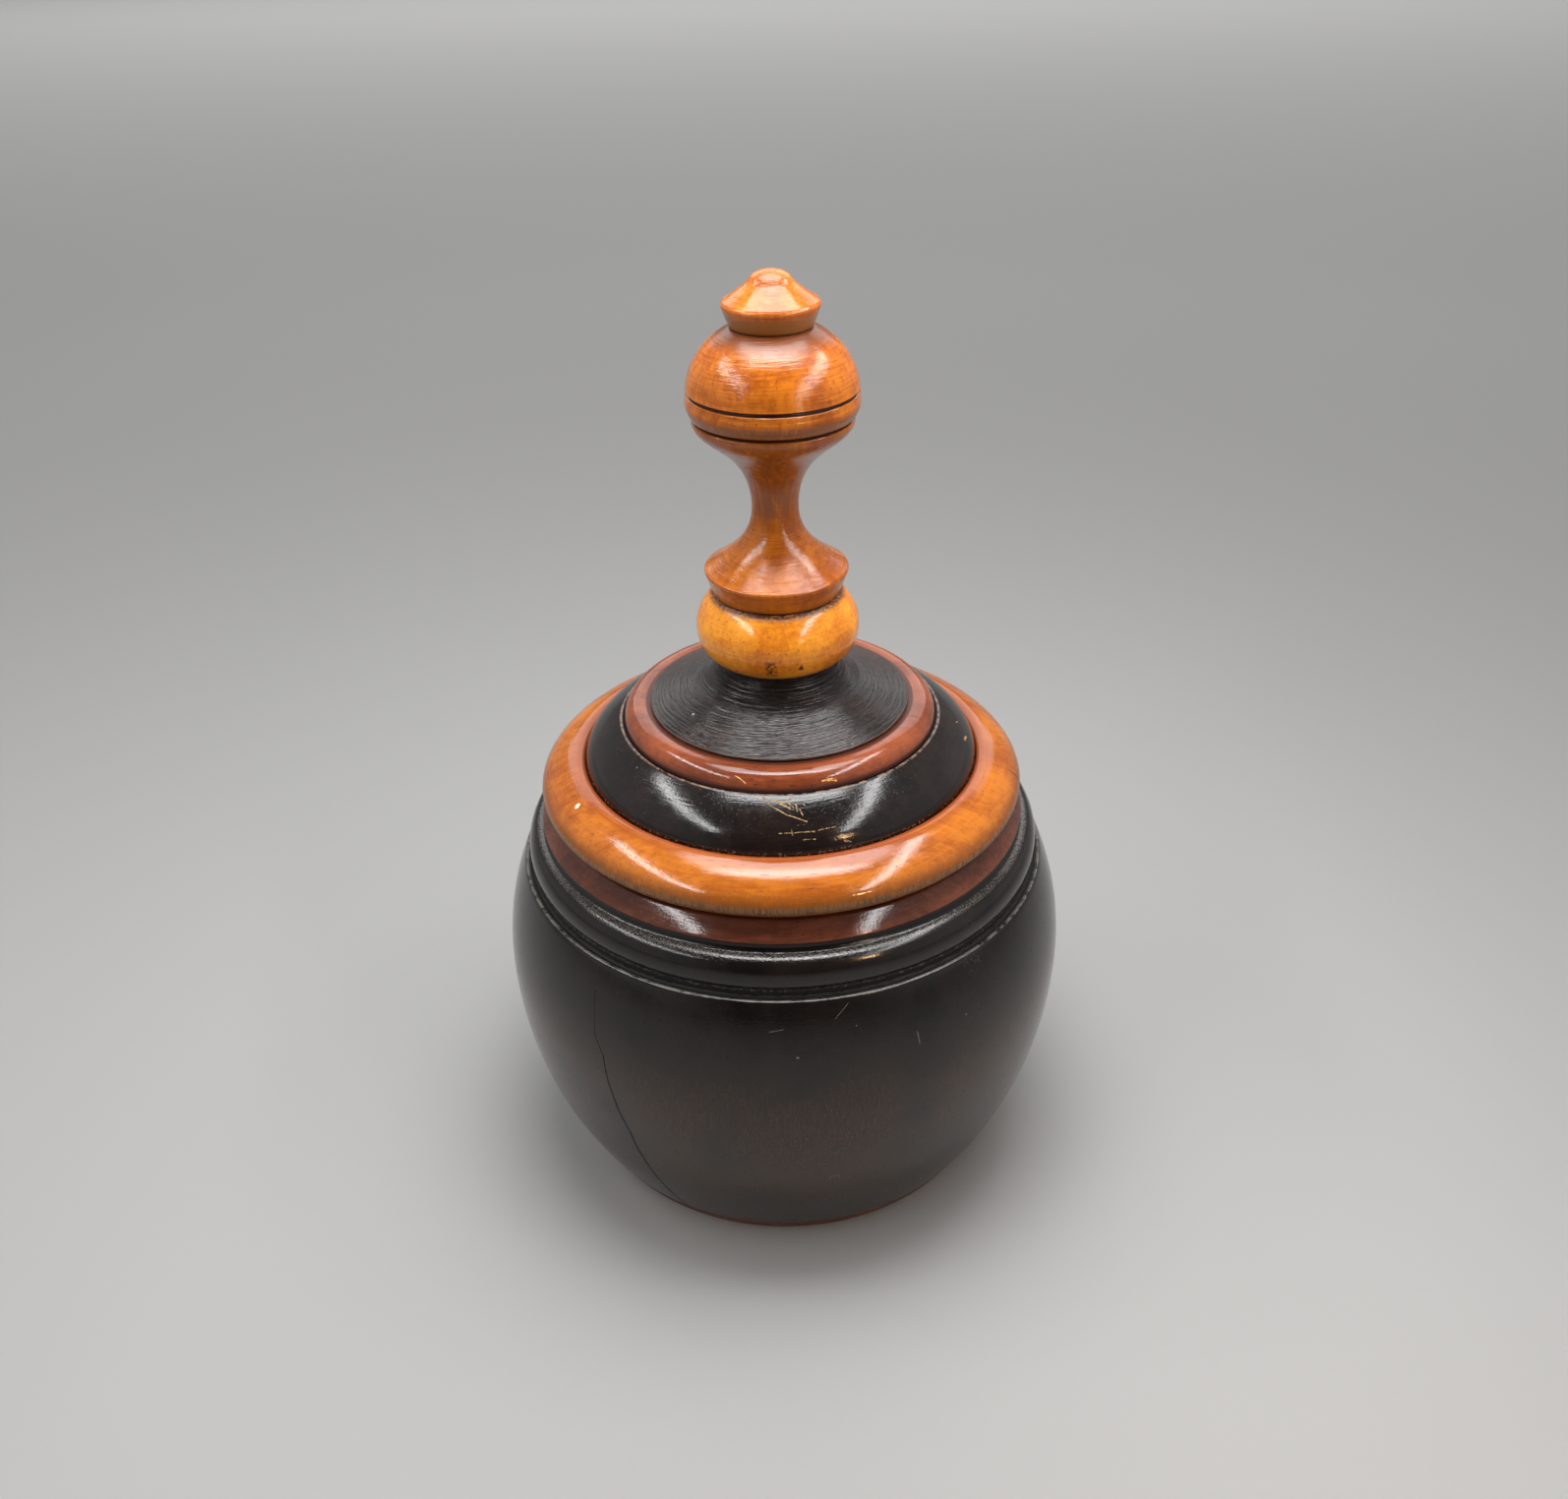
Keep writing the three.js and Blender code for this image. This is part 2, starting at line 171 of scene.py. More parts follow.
side = add(ROUND, "CombineXYZ", {"X": unrolled, "Y": apart["Z"]})["Vector"]
distance = add(ROUND, "VectorMath", {0: above}, operation="LENGTH")["Value"]
give(ROUND, given, {"Place": place, "Radius": distance, "Height": apart["Z"], "From above": above,
                    "From the side": side})

# fine lines round the axis, as a chisel and sandpaper leave them on the lathe
LINES, taken, given = new_group("Turning lines", {"Fineness": 2.0, "Broken": 0.1}, {"Lines": "Float"})
at = add(LINES, "Group", node_tree=ROUND)
apart = add(LINES, "SeparateXYZ", {"Vector": at["Place"]})
outward = calc(LINES, "MULTIPLY", at["Radius"], taken["Fineness"])
upward = calc(LINES, "MULTIPLY", at["Height"], taken["Fineness"])
along = add(LINES, "CombineXYZ", {
    "X": calc(LINES, "ADD", outward, calc(LINES, "MULTIPLY", apart["X"], taken["Broken"])),
    "Y": upward,
    "Z": calc(LINES, "MULTIPLY", apart["Y"], taken["Broken"])})["Vector"]
lines = add(LINES, "TexNoise", {"Vector": along, "Scale": 1, "Detail": 3, "Roughness": 0.6})["Fac"]
give(LINES, given, {"Lines": lines})

# the wood's own figure: broad tones, streaks along a grain that wanders, and short dark pores
WANDER_BY = 14
GRAIN, taken, given = new_group("Grain", {"Stretch": (1.0, 1.0, 0.1), "Pore size": 0.3}, {
    "Tone": "Float", "Streaks": "Float", "Mottle": "Float", "Pores": "Float"})
place = add(GRAIN, "Group", node_tree=ROUND)["Place"]
wander = add(GRAIN, "TexNoise", {"Vector": place, "Scale": 0.035, "Detail": 1})["Color"]
shifted = add(GRAIN, "VectorMath", {0: wander, 1: (WANDER_BY,) * 3, 2: place},
              operation="MULTIPLY_ADD")["Vector"]
stretched = add(GRAIN, "VectorMath", {0: shifted, 1: taken["Stretch"]}, operation="MULTIPLY")["Vector"]
tone = add(GRAIN, "TexNoise", {"Vector": stretched, "Scale": 0.09, "Detail": 2})["Fac"]
streaks = add(GRAIN, "TexNoise", {"Vector": stretched, "Scale": 0.75, "Detail": 5, "Roughness": 0.65})["Fac"]
mottle = add(GRAIN, "TexNoise", {"Vector": place, "Scale": 0.4, "Detail": 4, "Roughness": 0.7})["Fac"]
cells = add(GRAIN, "TexVoronoi", {"Vector": stretched, "Scale": 1.6})
chosen = add(GRAIN, "SeparateColor", {"Color": cells["Color"]})["Red"]
reach = calc(GRAIN, "MULTIPLY", chosen, taken["Pore size"])
pores = spread(GRAIN, calc(GRAIN, "SUBTRACT", reach, cells["Distance"]), 0, 0.06)
give(GRAIN, given, {"Tone": tone, "Streaks": streaks, "Mottle": mottle, "Pores": pores})

# dust specks and hair scratches in the lacquer from years of handling
SPECK_SHARE = 0.2
SPECK_EDGE = (0.03, 0.055)
WORN_FROM = 0.68
WORN_FULLY = 0.72
WORN_MORE = 0.12
HAIR_EDGE = (0.0015, 0.004)
HAIR_TILTS = ((0.4, 0.9, 0.2), (1.1, 2.0, 2.6))
WEAR, taken, given = new_group("Wear", {"Amount": 0.5}, {"Specks": "Float", "Scratches": "Float"})
place = add(WEAR, "Group", node_tree=ROUND)["Place"]
cells = add(WEAR, "TexVoronoi", {"Vector": place, "Scale": 0.16})
chosen = add(WEAR, "SeparateColor", {"Color": cells["Color"]})["Red"]
few = calc(WEAR, "LESS_THAN", chosen, calc(WEAR, "MULTIPLY", taken["Amount"], SPECK_SHARE))
specks = calc(WEAR, "MULTIPLY", few, spread(WEAR, cells["Distance"], *SPECK_EDGE, 1, 0))
worn = add(WEAR, "TexNoise", {"Vector": place, "Scale": 0.045, "Detail": 2})["Fac"]
from_here = calc(WEAR, "SUBTRACT", WORN_FROM, calc(WEAR, "MULTIPLY", taken["Amount"], WORN_MORE))
where = spread(WEAR, worn, from_here, WORN_FULLY)
hairs = 0.0
for tilt in HAIR_TILTS:
    laid = add(WEAR, "Mapping", {"Vector": place, "Rotation": tilt, "Scale": (0.9, 0.05, 0.35)})["Vector"]
    drift = add(WEAR, "TexNoise", {"Vector": laid, "Scale": 1, "Detail": 1})["Fac"]
    off = calc(WEAR, "ABSOLUTE", calc(WEAR, "SUBTRACT", drift, 0.5))
    hairs = calc(WEAR, "MAXIMUM", hairs, spread(WEAR, off, *HAIR_EDGE, 1, 0))
give(WEAR, given, {"Specks": specks, "Scratches": calc(WEAR, "MULTIPLY", hairs, where)})

# stained and lacquered wood as it comes off the lathe, with its relief in mm
WOOD, taken, given = new_group("Turned wood", {
    "Stretch": (1.0, 1.0, 0.1), "Light": (0.5, 0.3, 0.1, 1.0), "Dark": (0.2, 0.1, 0.05, 1.0),
    "Pore": (0.05, 0.02, 0.01, 1.0), "Pore size": 0.3, "Pore strength": 0.6, "Balance": 0.5,
    "Fineness": 2.0, "Line depth": 0.01, "Line colour": 0.2, "Polish": 0.25, "Uneven": 0.1, "Wear": 0.5,
    "Worn": (0.4, 0.35, 0.3, 1.0)}, {"Colour": "Color", "Roughness": "Float", "Relief": "Float"})
grain = add(WOOD, "Group", {"Stretch": taken["Stretch"], "Pore size": taken["Pore size"]}, node_tree=GRAIN)
lines = add(WOOD, "Group", {"Fineness": taken["Fineness"], "Broken": 0.12}, node_tree=LINES)["Lines"]
wear = add(WOOD, "Group", {"Amount": taken["Wear"]}, node_tree=WEAR)
either_way = calc(WOOD, "SUBTRACT", lines, 0.5)
tone = calc(WOOD, "ADD", calc(WOOD, "SUBTRACT", taken["Balance"], 0.5),
            calc(WOOD, "MULTIPLY", either_way, taken["Line colour"]))
for figure, share in (("Tone", 0.5), ("Streaks", 0.35), ("Mottle", 0.15)):
    tone = calc(WOOD, "ADD", tone, calc(WOOD, "MULTIPLY", grain[figure], share))
colour = blend(WOOD, spread(WOOD, tone, 0.38, 0.62), taken["Dark"], taken["Light"])
dots = calc(WOOD, "MULTIPLY", grain["Pores"], taken["Pore strength"])
colour = blend(WOOD, dots, colour, taken["Pore"])
scuffs = calc(WOOD, "MAXIMUM", calc(WOOD, "MULTIPLY", wear["Specks"], 0.8),
              calc(WOOD, "MULTIPLY", wear["Scratches"], 0.35))
colour = blend(WOOD, scuffs, colour, taken["Worn"])
dull = calc(WOOD, "MULTIPLY", spread(WOOD, grain["Mottle"], 0.35, 0.65), taken["Uneven"])
rough = calc(WOOD, "ADD", taken["Polish"], dull)
open_spots = calc(WOOD, "MULTIPLY", calc(WOOD, "MAXIMUM", dots, scuffs), 0.25)
rough = calc(WOOD, "ADD", rough, open_spots, clamp=True)
spot = add(WOOD, "Group", node_tree=ROUND)["Place"]
grit = add(WOOD, "TexNoise", {"Vector": spot, "Scale": 1.7, "Detail": 1})["Fac"]
relief = calc(WOOD, "MULTIPLY", either_way, taken["Line depth"])
for part, height in ((dots, -0.012), (grain["Mottle"], 0.008), (grit, 0.016)):
    relief = calc(WOOD, "ADD", relief, calc(WOOD, "MULTIPLY", part, height))
give(WOOD, given, {"Colour": colour, "Roughness": rough, "Relief": relief})


def wood(name, values):
    """Starts a piece's finish from the turned wood, with its own colours and polish."""
    made = bpy.data.materials.new(name)
    made.use_nodes = True
    tree = made.node_tree
    base = add(tree, "Group", values, node_tree=WOOD)
    return {"material": made, "tree": tree, "at": add(tree, "Group", node_tree=ROUND),
            "colour": base["Colour"], "rough": base["Roughness"], "relief": base["Relief"]}


def wire(finish):
    """Joins a finish's colour, gloss and relief to its shader."""
    tree = finish["tree"]
    bump = add(tree, "Bump", {"Height": finish["relief"], "Distance": MM, "Strength": 1})["Normal"]
    shader = tree.nodes["Principled BSDF"]
    for label, value in (("Base Color", finish["colour"]), ("Roughness", finish["rough"]), ("Normal", bump)):
        tree.links.new(value, shader.inputs[label])


def coat(piece, finish):
    """Ends a finish and gives it to a piece."""
    wire(finish)
    piece.data.materials.append(finish["material"])


def bare(piece, finish, inside):
    """Gives a second finish to the faces that a test picks by radius, height and the way they face."""
    piece.data.materials.append(finish["material"])
    for face in piece.data.polygons:
        radius = math.hypot(face.center.x, face.center.y)
        outward = (face.normal.x * face.center.x + face.normal.y * face.center.y) / max(radius, MM)
        if inside(radius / MM, face.center.z / MM, outward, face.normal.z):
            face.material_index = 1


red = {
    "Light": (0.27, 0.068, 0.024, 1), "Dark": (0.125, 0.026, 0.010, 1), "Pore": (0.035, 0.010, 0.006, 1),
    "Stretch": (0.12, 1, 1), "Fineness": 2.2, "Line depth": 0.016, "Polish": 0.08, "Uneven": 0.07,
    "Worn": (0.62, 0.36, 0.14, 1), "Wear": 0.3,
}
unstained = {
    "Light": (0.36, 0.20, 0.085, 1), "Dark": (0.21, 0.105, 0.042, 1), "Pore": (0.09, 0.04, 0.016, 1),
    "Stretch": (0.1, 1, 1), "Fineness": 1.3, "Line depth": 0.03, "Line colour": 0.3, "Polish": 0.55,
    "Uneven": 0.15, "Wear": 0, "Worn": (0.36, 0.2, 0.085, 1),
}
raw_wood = wood("unstained turned wood", unstained)
wire(raw_wood)

foot = turn("foot-disc", [
    (0, FOOT_HOLLOW),
    *sweep((20, FOOT_HOLLOW), (9, 0), (-1.6, 0.9), (STAND_INNER, 0), 8),
    ((STAND_INNER + STAND_OUTER) / 2, 0),
    (STAND_OUTER, 0),
    *arc(STAND_OUTER, STAND_EDGE, STAND_EDGE, STAND_EDGE, -70, 0, 4),
    (FOOT_RADIUS - 0.6, FOOT_TOP - 1.6),
    (FOOT_RADIUS, FOOT_TOP - 0.4),
    (FOOT_RADIUS - 0.4, FOOT_TOP),
    (FOOT_SPIGOT, FOOT_TOP),
    (FOOT_SPIGOT, FOOT_SPIGOT_END),
    (0, FOOT_SPIGOT_END),
], rounds=160, edge=0.2)
foot_finish = wood("red-brown foot", red | {
    "Light": (0.22, 0.062, 0.018, 1), "Dark": (0.10, 0.028, 0.010, 1)})
coat(foot, foot_finish)
bare(foot, raw_wood, lambda radius, height, outward, up: up < -0.3 and radius < STAND_OUTER - 0.2)
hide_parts("foot_disc")
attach(foot, "jar")


# BOWL. A round hollow bowl turned from one block, stained black outside and lacquered. Its side is one
# arc below the belly and one above it, and a sharp lip stands under the V groove at the top.

BOWL_BASE = FOOT_TOP
BOWL_TOP = 94.6
BELLY = 62
BOWL_RADIUS = 79.95
LOWER_ARC = 116.9
UPPER_ARC = 74.9
BOWL_WALL = 10
BOWL_FLOOR = 16
FLOOR_BEND = 9
LIP_RADIUS = 72.9
LIP_TOP = 93.5
GROOVE_RADIUS = 70.7
SHOULDER_SPIGOT = 64.7
SHOULDER_SPIGOT_END = 91.6

# a band all round where a value, such as the height or the radius, is near a middle
BAND, taken, given = new_group(
    "Band", {"Value": 0.0, "Middle": 0.0, "Half": 1.0, "Soft": 0.5}, {"Mask": "Float"})
off = calc(BAND, "ABSOLUTE", calc(BAND, "SUBTRACT", taken["Value"], taken["Middle"]))
past = calc(BAND, "SUBTRACT", off, taken["Half"])
give(BAND, given, {"Mask": spread(BAND, past, 0, taken["Soft"], 1, 0)})

# one mark, drawn as a stroke from a point to a point, with an edge that may be ragged
STROKE_EDGE = (0.35, 0.6)
STROKE, taken, given = new_group("Stroke", {
    "Seen": (0.0, 0.0, 0.0), "From": (0.0, 0.0, 0.0), "To": (1.0, 0.0, 0.0), "Width": 0.5, "Ragged": 0.0},
    {"Mask": "Float"})
reach = add(STROKE, "VectorMath", {0: taken["Seen"], 1: taken["From"]}, operation="SUBTRACT")["Vector"]
whole = add(STROKE, "VectorMath", {0: taken["To"], 1: taken["From"]}, operation="SUBTRACT")["Vector"]
shadow = add(STROKE, "VectorMath", {0: reach, 1: whole}, operation="DOT_PRODUCT")["Value"]
square = add(STROKE, "VectorMath", {0: whole, 1: whole}, operation="DOT_PRODUCT")["Value"]
share = calc(STROKE, "DIVIDE", shadow, calc(STROKE, "MAXIMUM", square, 0.0001), clamp=True)
nearest = add(STROKE, "VectorMath", {0: whole, "Scale": share}, operation="SCALE")["Vector"]
off = add(STROKE, "VectorMath", {0: reach, 1: nearest}, operation="DISTANCE")["Value"]
fray = add(STROKE, "TexNoise", {"Vector": taken["Seen"], "Scale": 1.3, "Detail": 4, "Roughness": 0.7})["Fac"]
torn = calc(STROKE, "MULTIPLY", calc(STROKE, "SUBTRACT", fray, 0.5), taken["Ragged"])
edge = calc(STROKE, "DIVIDE", calc(STROKE, "ADD", off, torn), taken["Width"])
give(STROKE, given, {"Mask": spread(STROKE, edge, *STROKE_EDGE, 1, 0)})


def band(finish, along, middle, half, soft):
    """A mask all round the piece where its radius or height is near a middle."""
    values = {"Value": finish["at"][along], "Middle": middle, "Half": half, "Soft": soft}
    return add(finish["tree"], "Group", values, node_tree=BAND)["Mask"]


def stroke(finish, seen, start, end, width, ragged=0.0):
    """A mask for one mark between two points, seen from above or from the side."""
    values = {"Seen": finish["at"][seen], "From": (*start, 0), "To": (*end, 0), "Width": width,
              "Ragged": ragged}
    return add(finish["tree"], "Group", values, node_tree=STROKE)["Mask"]


def both(finish, first, second):
    """Keeps a mask only where a second one holds too."""
    return calc(finish["tree"], "MULTIPLY", first, second)


def flecks(finish, mask, stretch, low, high, detail=3):
    """Breaks a mask into grains or flecks, which run longer the way in which their stretch is small."""
    tree = finish["tree"]
    laid = add(tree, "VectorMath", {0: finish["at"]["Place"], 1: stretch}, operation="MULTIPLY")["Vector"]
    noise = add(tree, "TexNoise", {"Vector": laid, "Scale": 1, "Detail": detail, "Roughness": 0.6})["Fac"]
    return both(finish, mask, spread(tree, noise, low, high))


def lay(finish, mask, colour=None, rough=None, depth=0.0):
    """Colours, dulls or sinks the finish where the mask is 1; depth is in mm."""
    tree = finish["tree"]
    if colour:
        finish["colour"] = blend(tree, mask, finish["colour"], (*colour, 1))
    if rough is not None:
        finish["rough"] = add(tree, "Mix", {0: mask, 2: finish["rough"], 3: rough}, data_type="FLOAT")[0]
    if depth:
        finish["relief"] = calc(tree, "SUBTRACT", finish["relief"], calc(tree, "MULTIPLY", mask, depth))


def bowl_side(low, high, wall, steps):
    """Points up the bowl's side, or up the inside of its wall."""
    points = []
    for i in range(steps + 1):
        z = low + (high - low) * i / steps
        radius = LOWER_ARC if z < BELLY else UPPER_ARC
        points.append((BOWL_RADIUS - radius + math.sqrt((radius - wall) ** 2 - (z - BELLY) ** 2), z))
    return points


def on_side(angle, height):
    """A place on the bowl's side in mm, as its flat view has it, from an angle in degrees and a height."""
    return math.radians(angle) * UNROLLED_AT, height


bend_top = BOWL_FLOOR + FLOOR_BEND
bend_radius = bowl_side(bend_top, bend_top, BOWL_WALL, 1)[0][0] - FLOOR_BEND
bowl_rebate = SHOULDER_SPIGOT + GLUE_GAP
rebate_floor = SHOULDER_SPIGOT_END - GLUE_GAP
bowl = turn("turned-bowl", [
    (0, FOOT_SPIGOT_END + GLUE_GAP),
    (FOOT_SPIGOT + GLUE_GAP, FOOT_SPIGOT_END + GLUE_GAP),
    (FOOT_SPIGOT + GLUE_GAP, BOWL_BASE),
    *bowl_side(BOWL_BASE, LIP_TOP - 0.3, 0, 72),
    (LIP_RADIUS, LIP_TOP),
    (LIP_RADIUS - 0.35, LIP_TOP),
    (GROOVE_RADIUS + 0.5, LIP_TOP - 0.6),
    (GROOVE_RADIUS, LIP_TOP - 0.3),
    (GROOVE_RADIUS, BOWL_TOP),
    (bowl_rebate, BOWL_TOP),
    (bowl_rebate, rebate_floor),
    *bowl_side(rebate_floor, bend_top, BOWL_WALL, 44),
    *arc(bend_radius, bend_top, FLOOR_BEND, FLOOR_BEND, -8, -90, 10),
    (30, BOWL_FLOOR),
    (0, BOWL_FLOOR),
], rounds=192, edge=0.25)

black = {
    "Light": (0.0120, 0.0080, 0.0066, 1), "Dark": (0.0055, 0.0044, 0.0041, 1),
    "Pore": (0.002, 0.0017, 0.0017, 1), "Stretch": (1, 1, 0.1), "Fineness": 1.6, "Line depth": 0.010,
    "Polish": 0.11, "Uneven": 0.06, "Worn": (0.26, 0.23, 0.19, 1), "Wear": 0.25,
}
worn_brown = (0.0285, 0.0145, 0.0085)
streak_brown = (0.060, 0.0270, 0.0130)
rough_black = (0.006, 0.005, 0.005)
lip_wear_and_highlight_grey = (0.13, 0.12, 0.105)
crack_black = (0.0015, 0.001, 0.001)
scratch_grey = (0.20, 0.185, 0.165)

# the stain has worn thin below the belly, where some brown shows, and the V groove is left dull
bowl_finish = wood("black-stained bowl", black)
thin_stain = flecks(bowl_finish, band(bowl_finish, "Height", 44, 12, 26), (0.04, 0.04, 0.05), 0.22, 0.55, 1)
streaks = flecks(bowl_finish, thin_stain, (2.1, 2.1, 0.28), 0.36, 0.74)
lay(bowl_finish, thin_stain, worn_brown)
lay(bowl_finish, streaks, streak_brown)
groove_wall = band(bowl_finish, "Radius", GROOVE_RADIUS + 0.8, 0.8, 0.1)
groove_wall = both(bowl_finish, groove_wall, band(bowl_finish, "Height", BOWL_TOP - 0.6, 1.3, 0.1))
lay(bowl_finish, groove_wall, rough_black, rough=0.6)
# a thin broken grey line along the lip: partly wear, partly a painted highlight on the sharp lip
lip = band(bowl_finish, "Height", LIP_TOP - 0.08, 0.03, 0.12)
lay(bowl_finish, flecks(bowl_finish, lip, (0.4, 0.4, 0.4), 0.32, 0.58), lip_wear_and_highlight_grey, rough=0.25)

# the drying crack runs down the left side, thin at the top and open below
crack = (
    (-39.7, 85.9), (-38.6, 73.8), (-36.5, 68.4), (-35.8, 60.8), (-34.3, 51.0), (-32.5, 42.7), (-31.8, 35.2),
    (-30.1, 23.2), (-27.6, 9.6), (-26.8, BOWL_BASE),
)
for number, (high, low) in enumerate(zip(crack, crack[1:])):
    width = 0.3 + 0.07 * min(number, 6)
    split = stroke(bowl_finish, "From the side", on_side(*high), on_side(*low), width, 0.25)
    lay(bowl_finish, split, crack_black, rough=0.8, depth=0.2)

# a speck of white, some scratches and a small rubbed mark, each by angle, height and width
for start, stop, width in (
    ((2.0, 79.6), (2.1, 79.6), 0.55), ((9.3, 88.7), (12.1, 92.0), 0.1), ((25.1, 80.6), (25.4, 77.0), 0.16),
    ((7.9, 33.9), (8.2, 35.5), 0.14), ((8.2, 35.5), (9.9, 35.6), 0.12), ((9.9, 35.6), (10.0, 34.1), 0.12),
    ((-3.1, 86.4), (-0.4, 87.0), 0.1), ((13.2, 86.2), (13.3, 86.3), 0.25), ((36.2, 79.2), (36.3, 79.3), 0.3),
):
    mark = stroke(bowl_finish, "From the side", on_side(*start), on_side(*stop), width, 0.08)
    lay(bowl_finish, mark, scratch_grey, rough=0.4)
coat(bowl, bowl_finish)


def in_the_bowl(radius, height, outward, up):
    """Holds for the faces of the hollow, which were never stained."""
    hollow = radius < GROOVE_RADIUS - 0.4 and height > FOOT_SPIGOT_END + 0.1
    return hollow and (outward < -0.2 or up > 0.5)


bare(bowl, raw_wood, in_the_bowl)
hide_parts("bowl")
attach(bowl, "jar")


# SHOULDER RING. A black ring, glued on the bowl with a spigot. Its round side bends over to a narrow shelf,
# and a small hollow rises from that to the mouth ring. The V groove under it is left rough from the tool.

SHOULDER_TOP = 105.8
SIDE_FOOT = (71.35, 96.8)
SIDE_TOP = (69.7, 102.7)
SHELF = (67.2, 103.85)
MOUTH_RADIUS = 55
MOUTH_SPIGOT = 59.7
MOUTH_SPIGOT_END = 102.8

shoulder = turn("shoulder-ring", [
    (SHOULDER_SPIGOT, BOWL_TOP),
    (GROOVE_RADIUS, BOWL_TOP),
    (70.3, BOWL_TOP + 0.6),
    (70.9, BOWL_TOP + 1.2),
    *sweep(SIDE_FOOT, (0.35, 2.8), (0.95, -1.1), SIDE_TOP, 16),
    *sweep(SIDE_TOP, (-0.7, 0.66), (0.95, -0.2), SHELF, 12)[1:],
    *sweep(SHELF, (-0.7, 0.1), (0, -0.9), (66.05, SHOULDER_TOP), 6)[1:],
    (MOUTH_SPIGOT + GLUE_GAP, SHOULDER_TOP),
    (MOUTH_SPIGOT + GLUE_GAP, MOUTH_SPIGOT_END - GLUE_GAP),
    (MOUTH_RADIUS, MOUTH_SPIGOT_END - GLUE_GAP),
    (MOUTH_RADIUS, BOWL_TOP),
    (57.5, SHOULDER_SPIGOT_END),
    (SHOULDER_SPIGOT, SHOULDER_SPIGOT_END),
    (SHOULDER_SPIGOT, BOWL_TOP),
], rounds=192, edge=0.2)
rubbed_and_sheen_grey = (0.09, 0.08, 0.07)
pit_grey = (0.10, 0.09, 0.08)

# the shelf is polished, with some grit in the finish, and a narrow grey band on it is partly rubbed wear and
# partly a painted highlight
shoulder_finish = wood("black-stained shoulder", black | {"Polish": 0.12})
shelf = band(shoulder_finish, "Height", SHELF[1] - 0.25, 0.9, 0.5)
grit = flecks(shoulder_finish, shelf, (1.7, 1.7, 4.5), 0.38, 0.62, 2)
lay(shoulder_finish, shelf, rough=0.08)
lay(shoulder_finish, grit, rough=0.14, depth=-0.012)
# painted highlight and rubbed wear: a grey band along the shelf
rubbed_and_sheen = band(shoulder_finish, "Height", SHELF[1] - 0.2, 0.15, 0.3)
rubbed_and_sheen = flecks(shoulder_finish, rubbed_and_sheen, (2.2, 2.2, 4), 0.42, 0.6)
lay(shoulder_finish, rubbed_and_sheen, rubbed_and_sheen_grey, rough=0.08)
rough_cut = band(shoulder_finish, "Height", BOWL_TOP + 0.4, 0.9, 0.3)
lay(shoulder_finish, rough_cut, rough_black, rough=0.55)
pits = flecks(shoulder_finish, rough_cut, (1.5, 1.5, 1.5), 0.5, 0.62)
lay(shoulder_finish, pits, pit_grey, rough=0.4, depth=-0.05)
coat(shoulder, shoulder_finish)
bare(shoulder, raw_wood,
     lambda radius, height, outward, up: radius < SHOULDER_SPIGOT - 0.1 and outward < 0.2)
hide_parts("shoulder_ring")
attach(shoulder, "jar")


# MOUTH RING. A ring of dark red-brown wood around the mouth, glued into the shoulder ring with a spigot.
# Its bore takes the lid's spigot, and the lid rests on its flat top.

MOUTH_TOP = 111
MOUTH_SIDE = 67
MOUTH_EASE = 0.6

mouth = turn("mouth-ring", [
    (MOUTH_SPIGOT, SHOULDER_TOP),
    (MOUTH_SIDE - 1.3, SHOULDER_TOP),
    (MOUTH_SIDE - 0.6, SHOULDER_TOP + 0.2),
    (MOUTH_SIDE - 0.15, SHOULDER_TOP + 0.7),
    *sweep((MOUTH_SIDE, SHOULDER_TOP + 1.2), (-1.2, 1.4), (1.4, -1.15), (63, MOUTH_TOP), 14),
    (58, MOUTH_TOP),
    *arc(MOUTH_RADIUS + MOUTH_EASE, MOUTH_TOP - MOUTH_EASE, MOUTH_EASE, MOUTH_EASE, 90, 180, 4),
    (MOUTH_RADIUS, MOUTH_SPIGOT_END),
    (MOUTH_SPIGOT, MOUTH_SPIGOT_END),
    (MOUTH_SPIGOT, SHOULDER_TOP),
], rounds=192, edge=0.15)
mouth_finish = wood("red-brown mouth ring", red | {
    "Light": (0.175, 0.050, 0.024, 1), "Dark": (0.088, 0.025, 0.013, 1), "Line depth": 0.022})
coat(mouth, mouth_finish)
bare(mouth, raw_wood, lambda radius, height, outward, up: radius < MOUTH_RADIUS + 0.3 and outward < -0.5)
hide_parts("mouth_ring")
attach(mouth, "jar")


# LID RIM. A round rim of honey-coloured wood with a spigot under it, which drops loosely into the mouth.
# A rebate in its top takes the dome, and its outer side shows end grain low down.

REST_GAP = 0.3
LID_PLAY = 0.8
LID_BASE = MOUTH_TOP + REST_GAP
RIM_TOP = 123.5
RIM_CREST = (56.6, 123.9)
RIM_RADIUS = 66.05
RIM_LOWER_WIDTH = 8.05
RIM_LOWER_HEIGHT = 4.6
RIM_SPIGOT = MOUTH_RADIUS - LID_PLAY
RIM_SPIGOT_END = 101.3
RIM_BORE = 48.5
DOME_RADIUS = 53.5
DOME_SEAT = 119.5

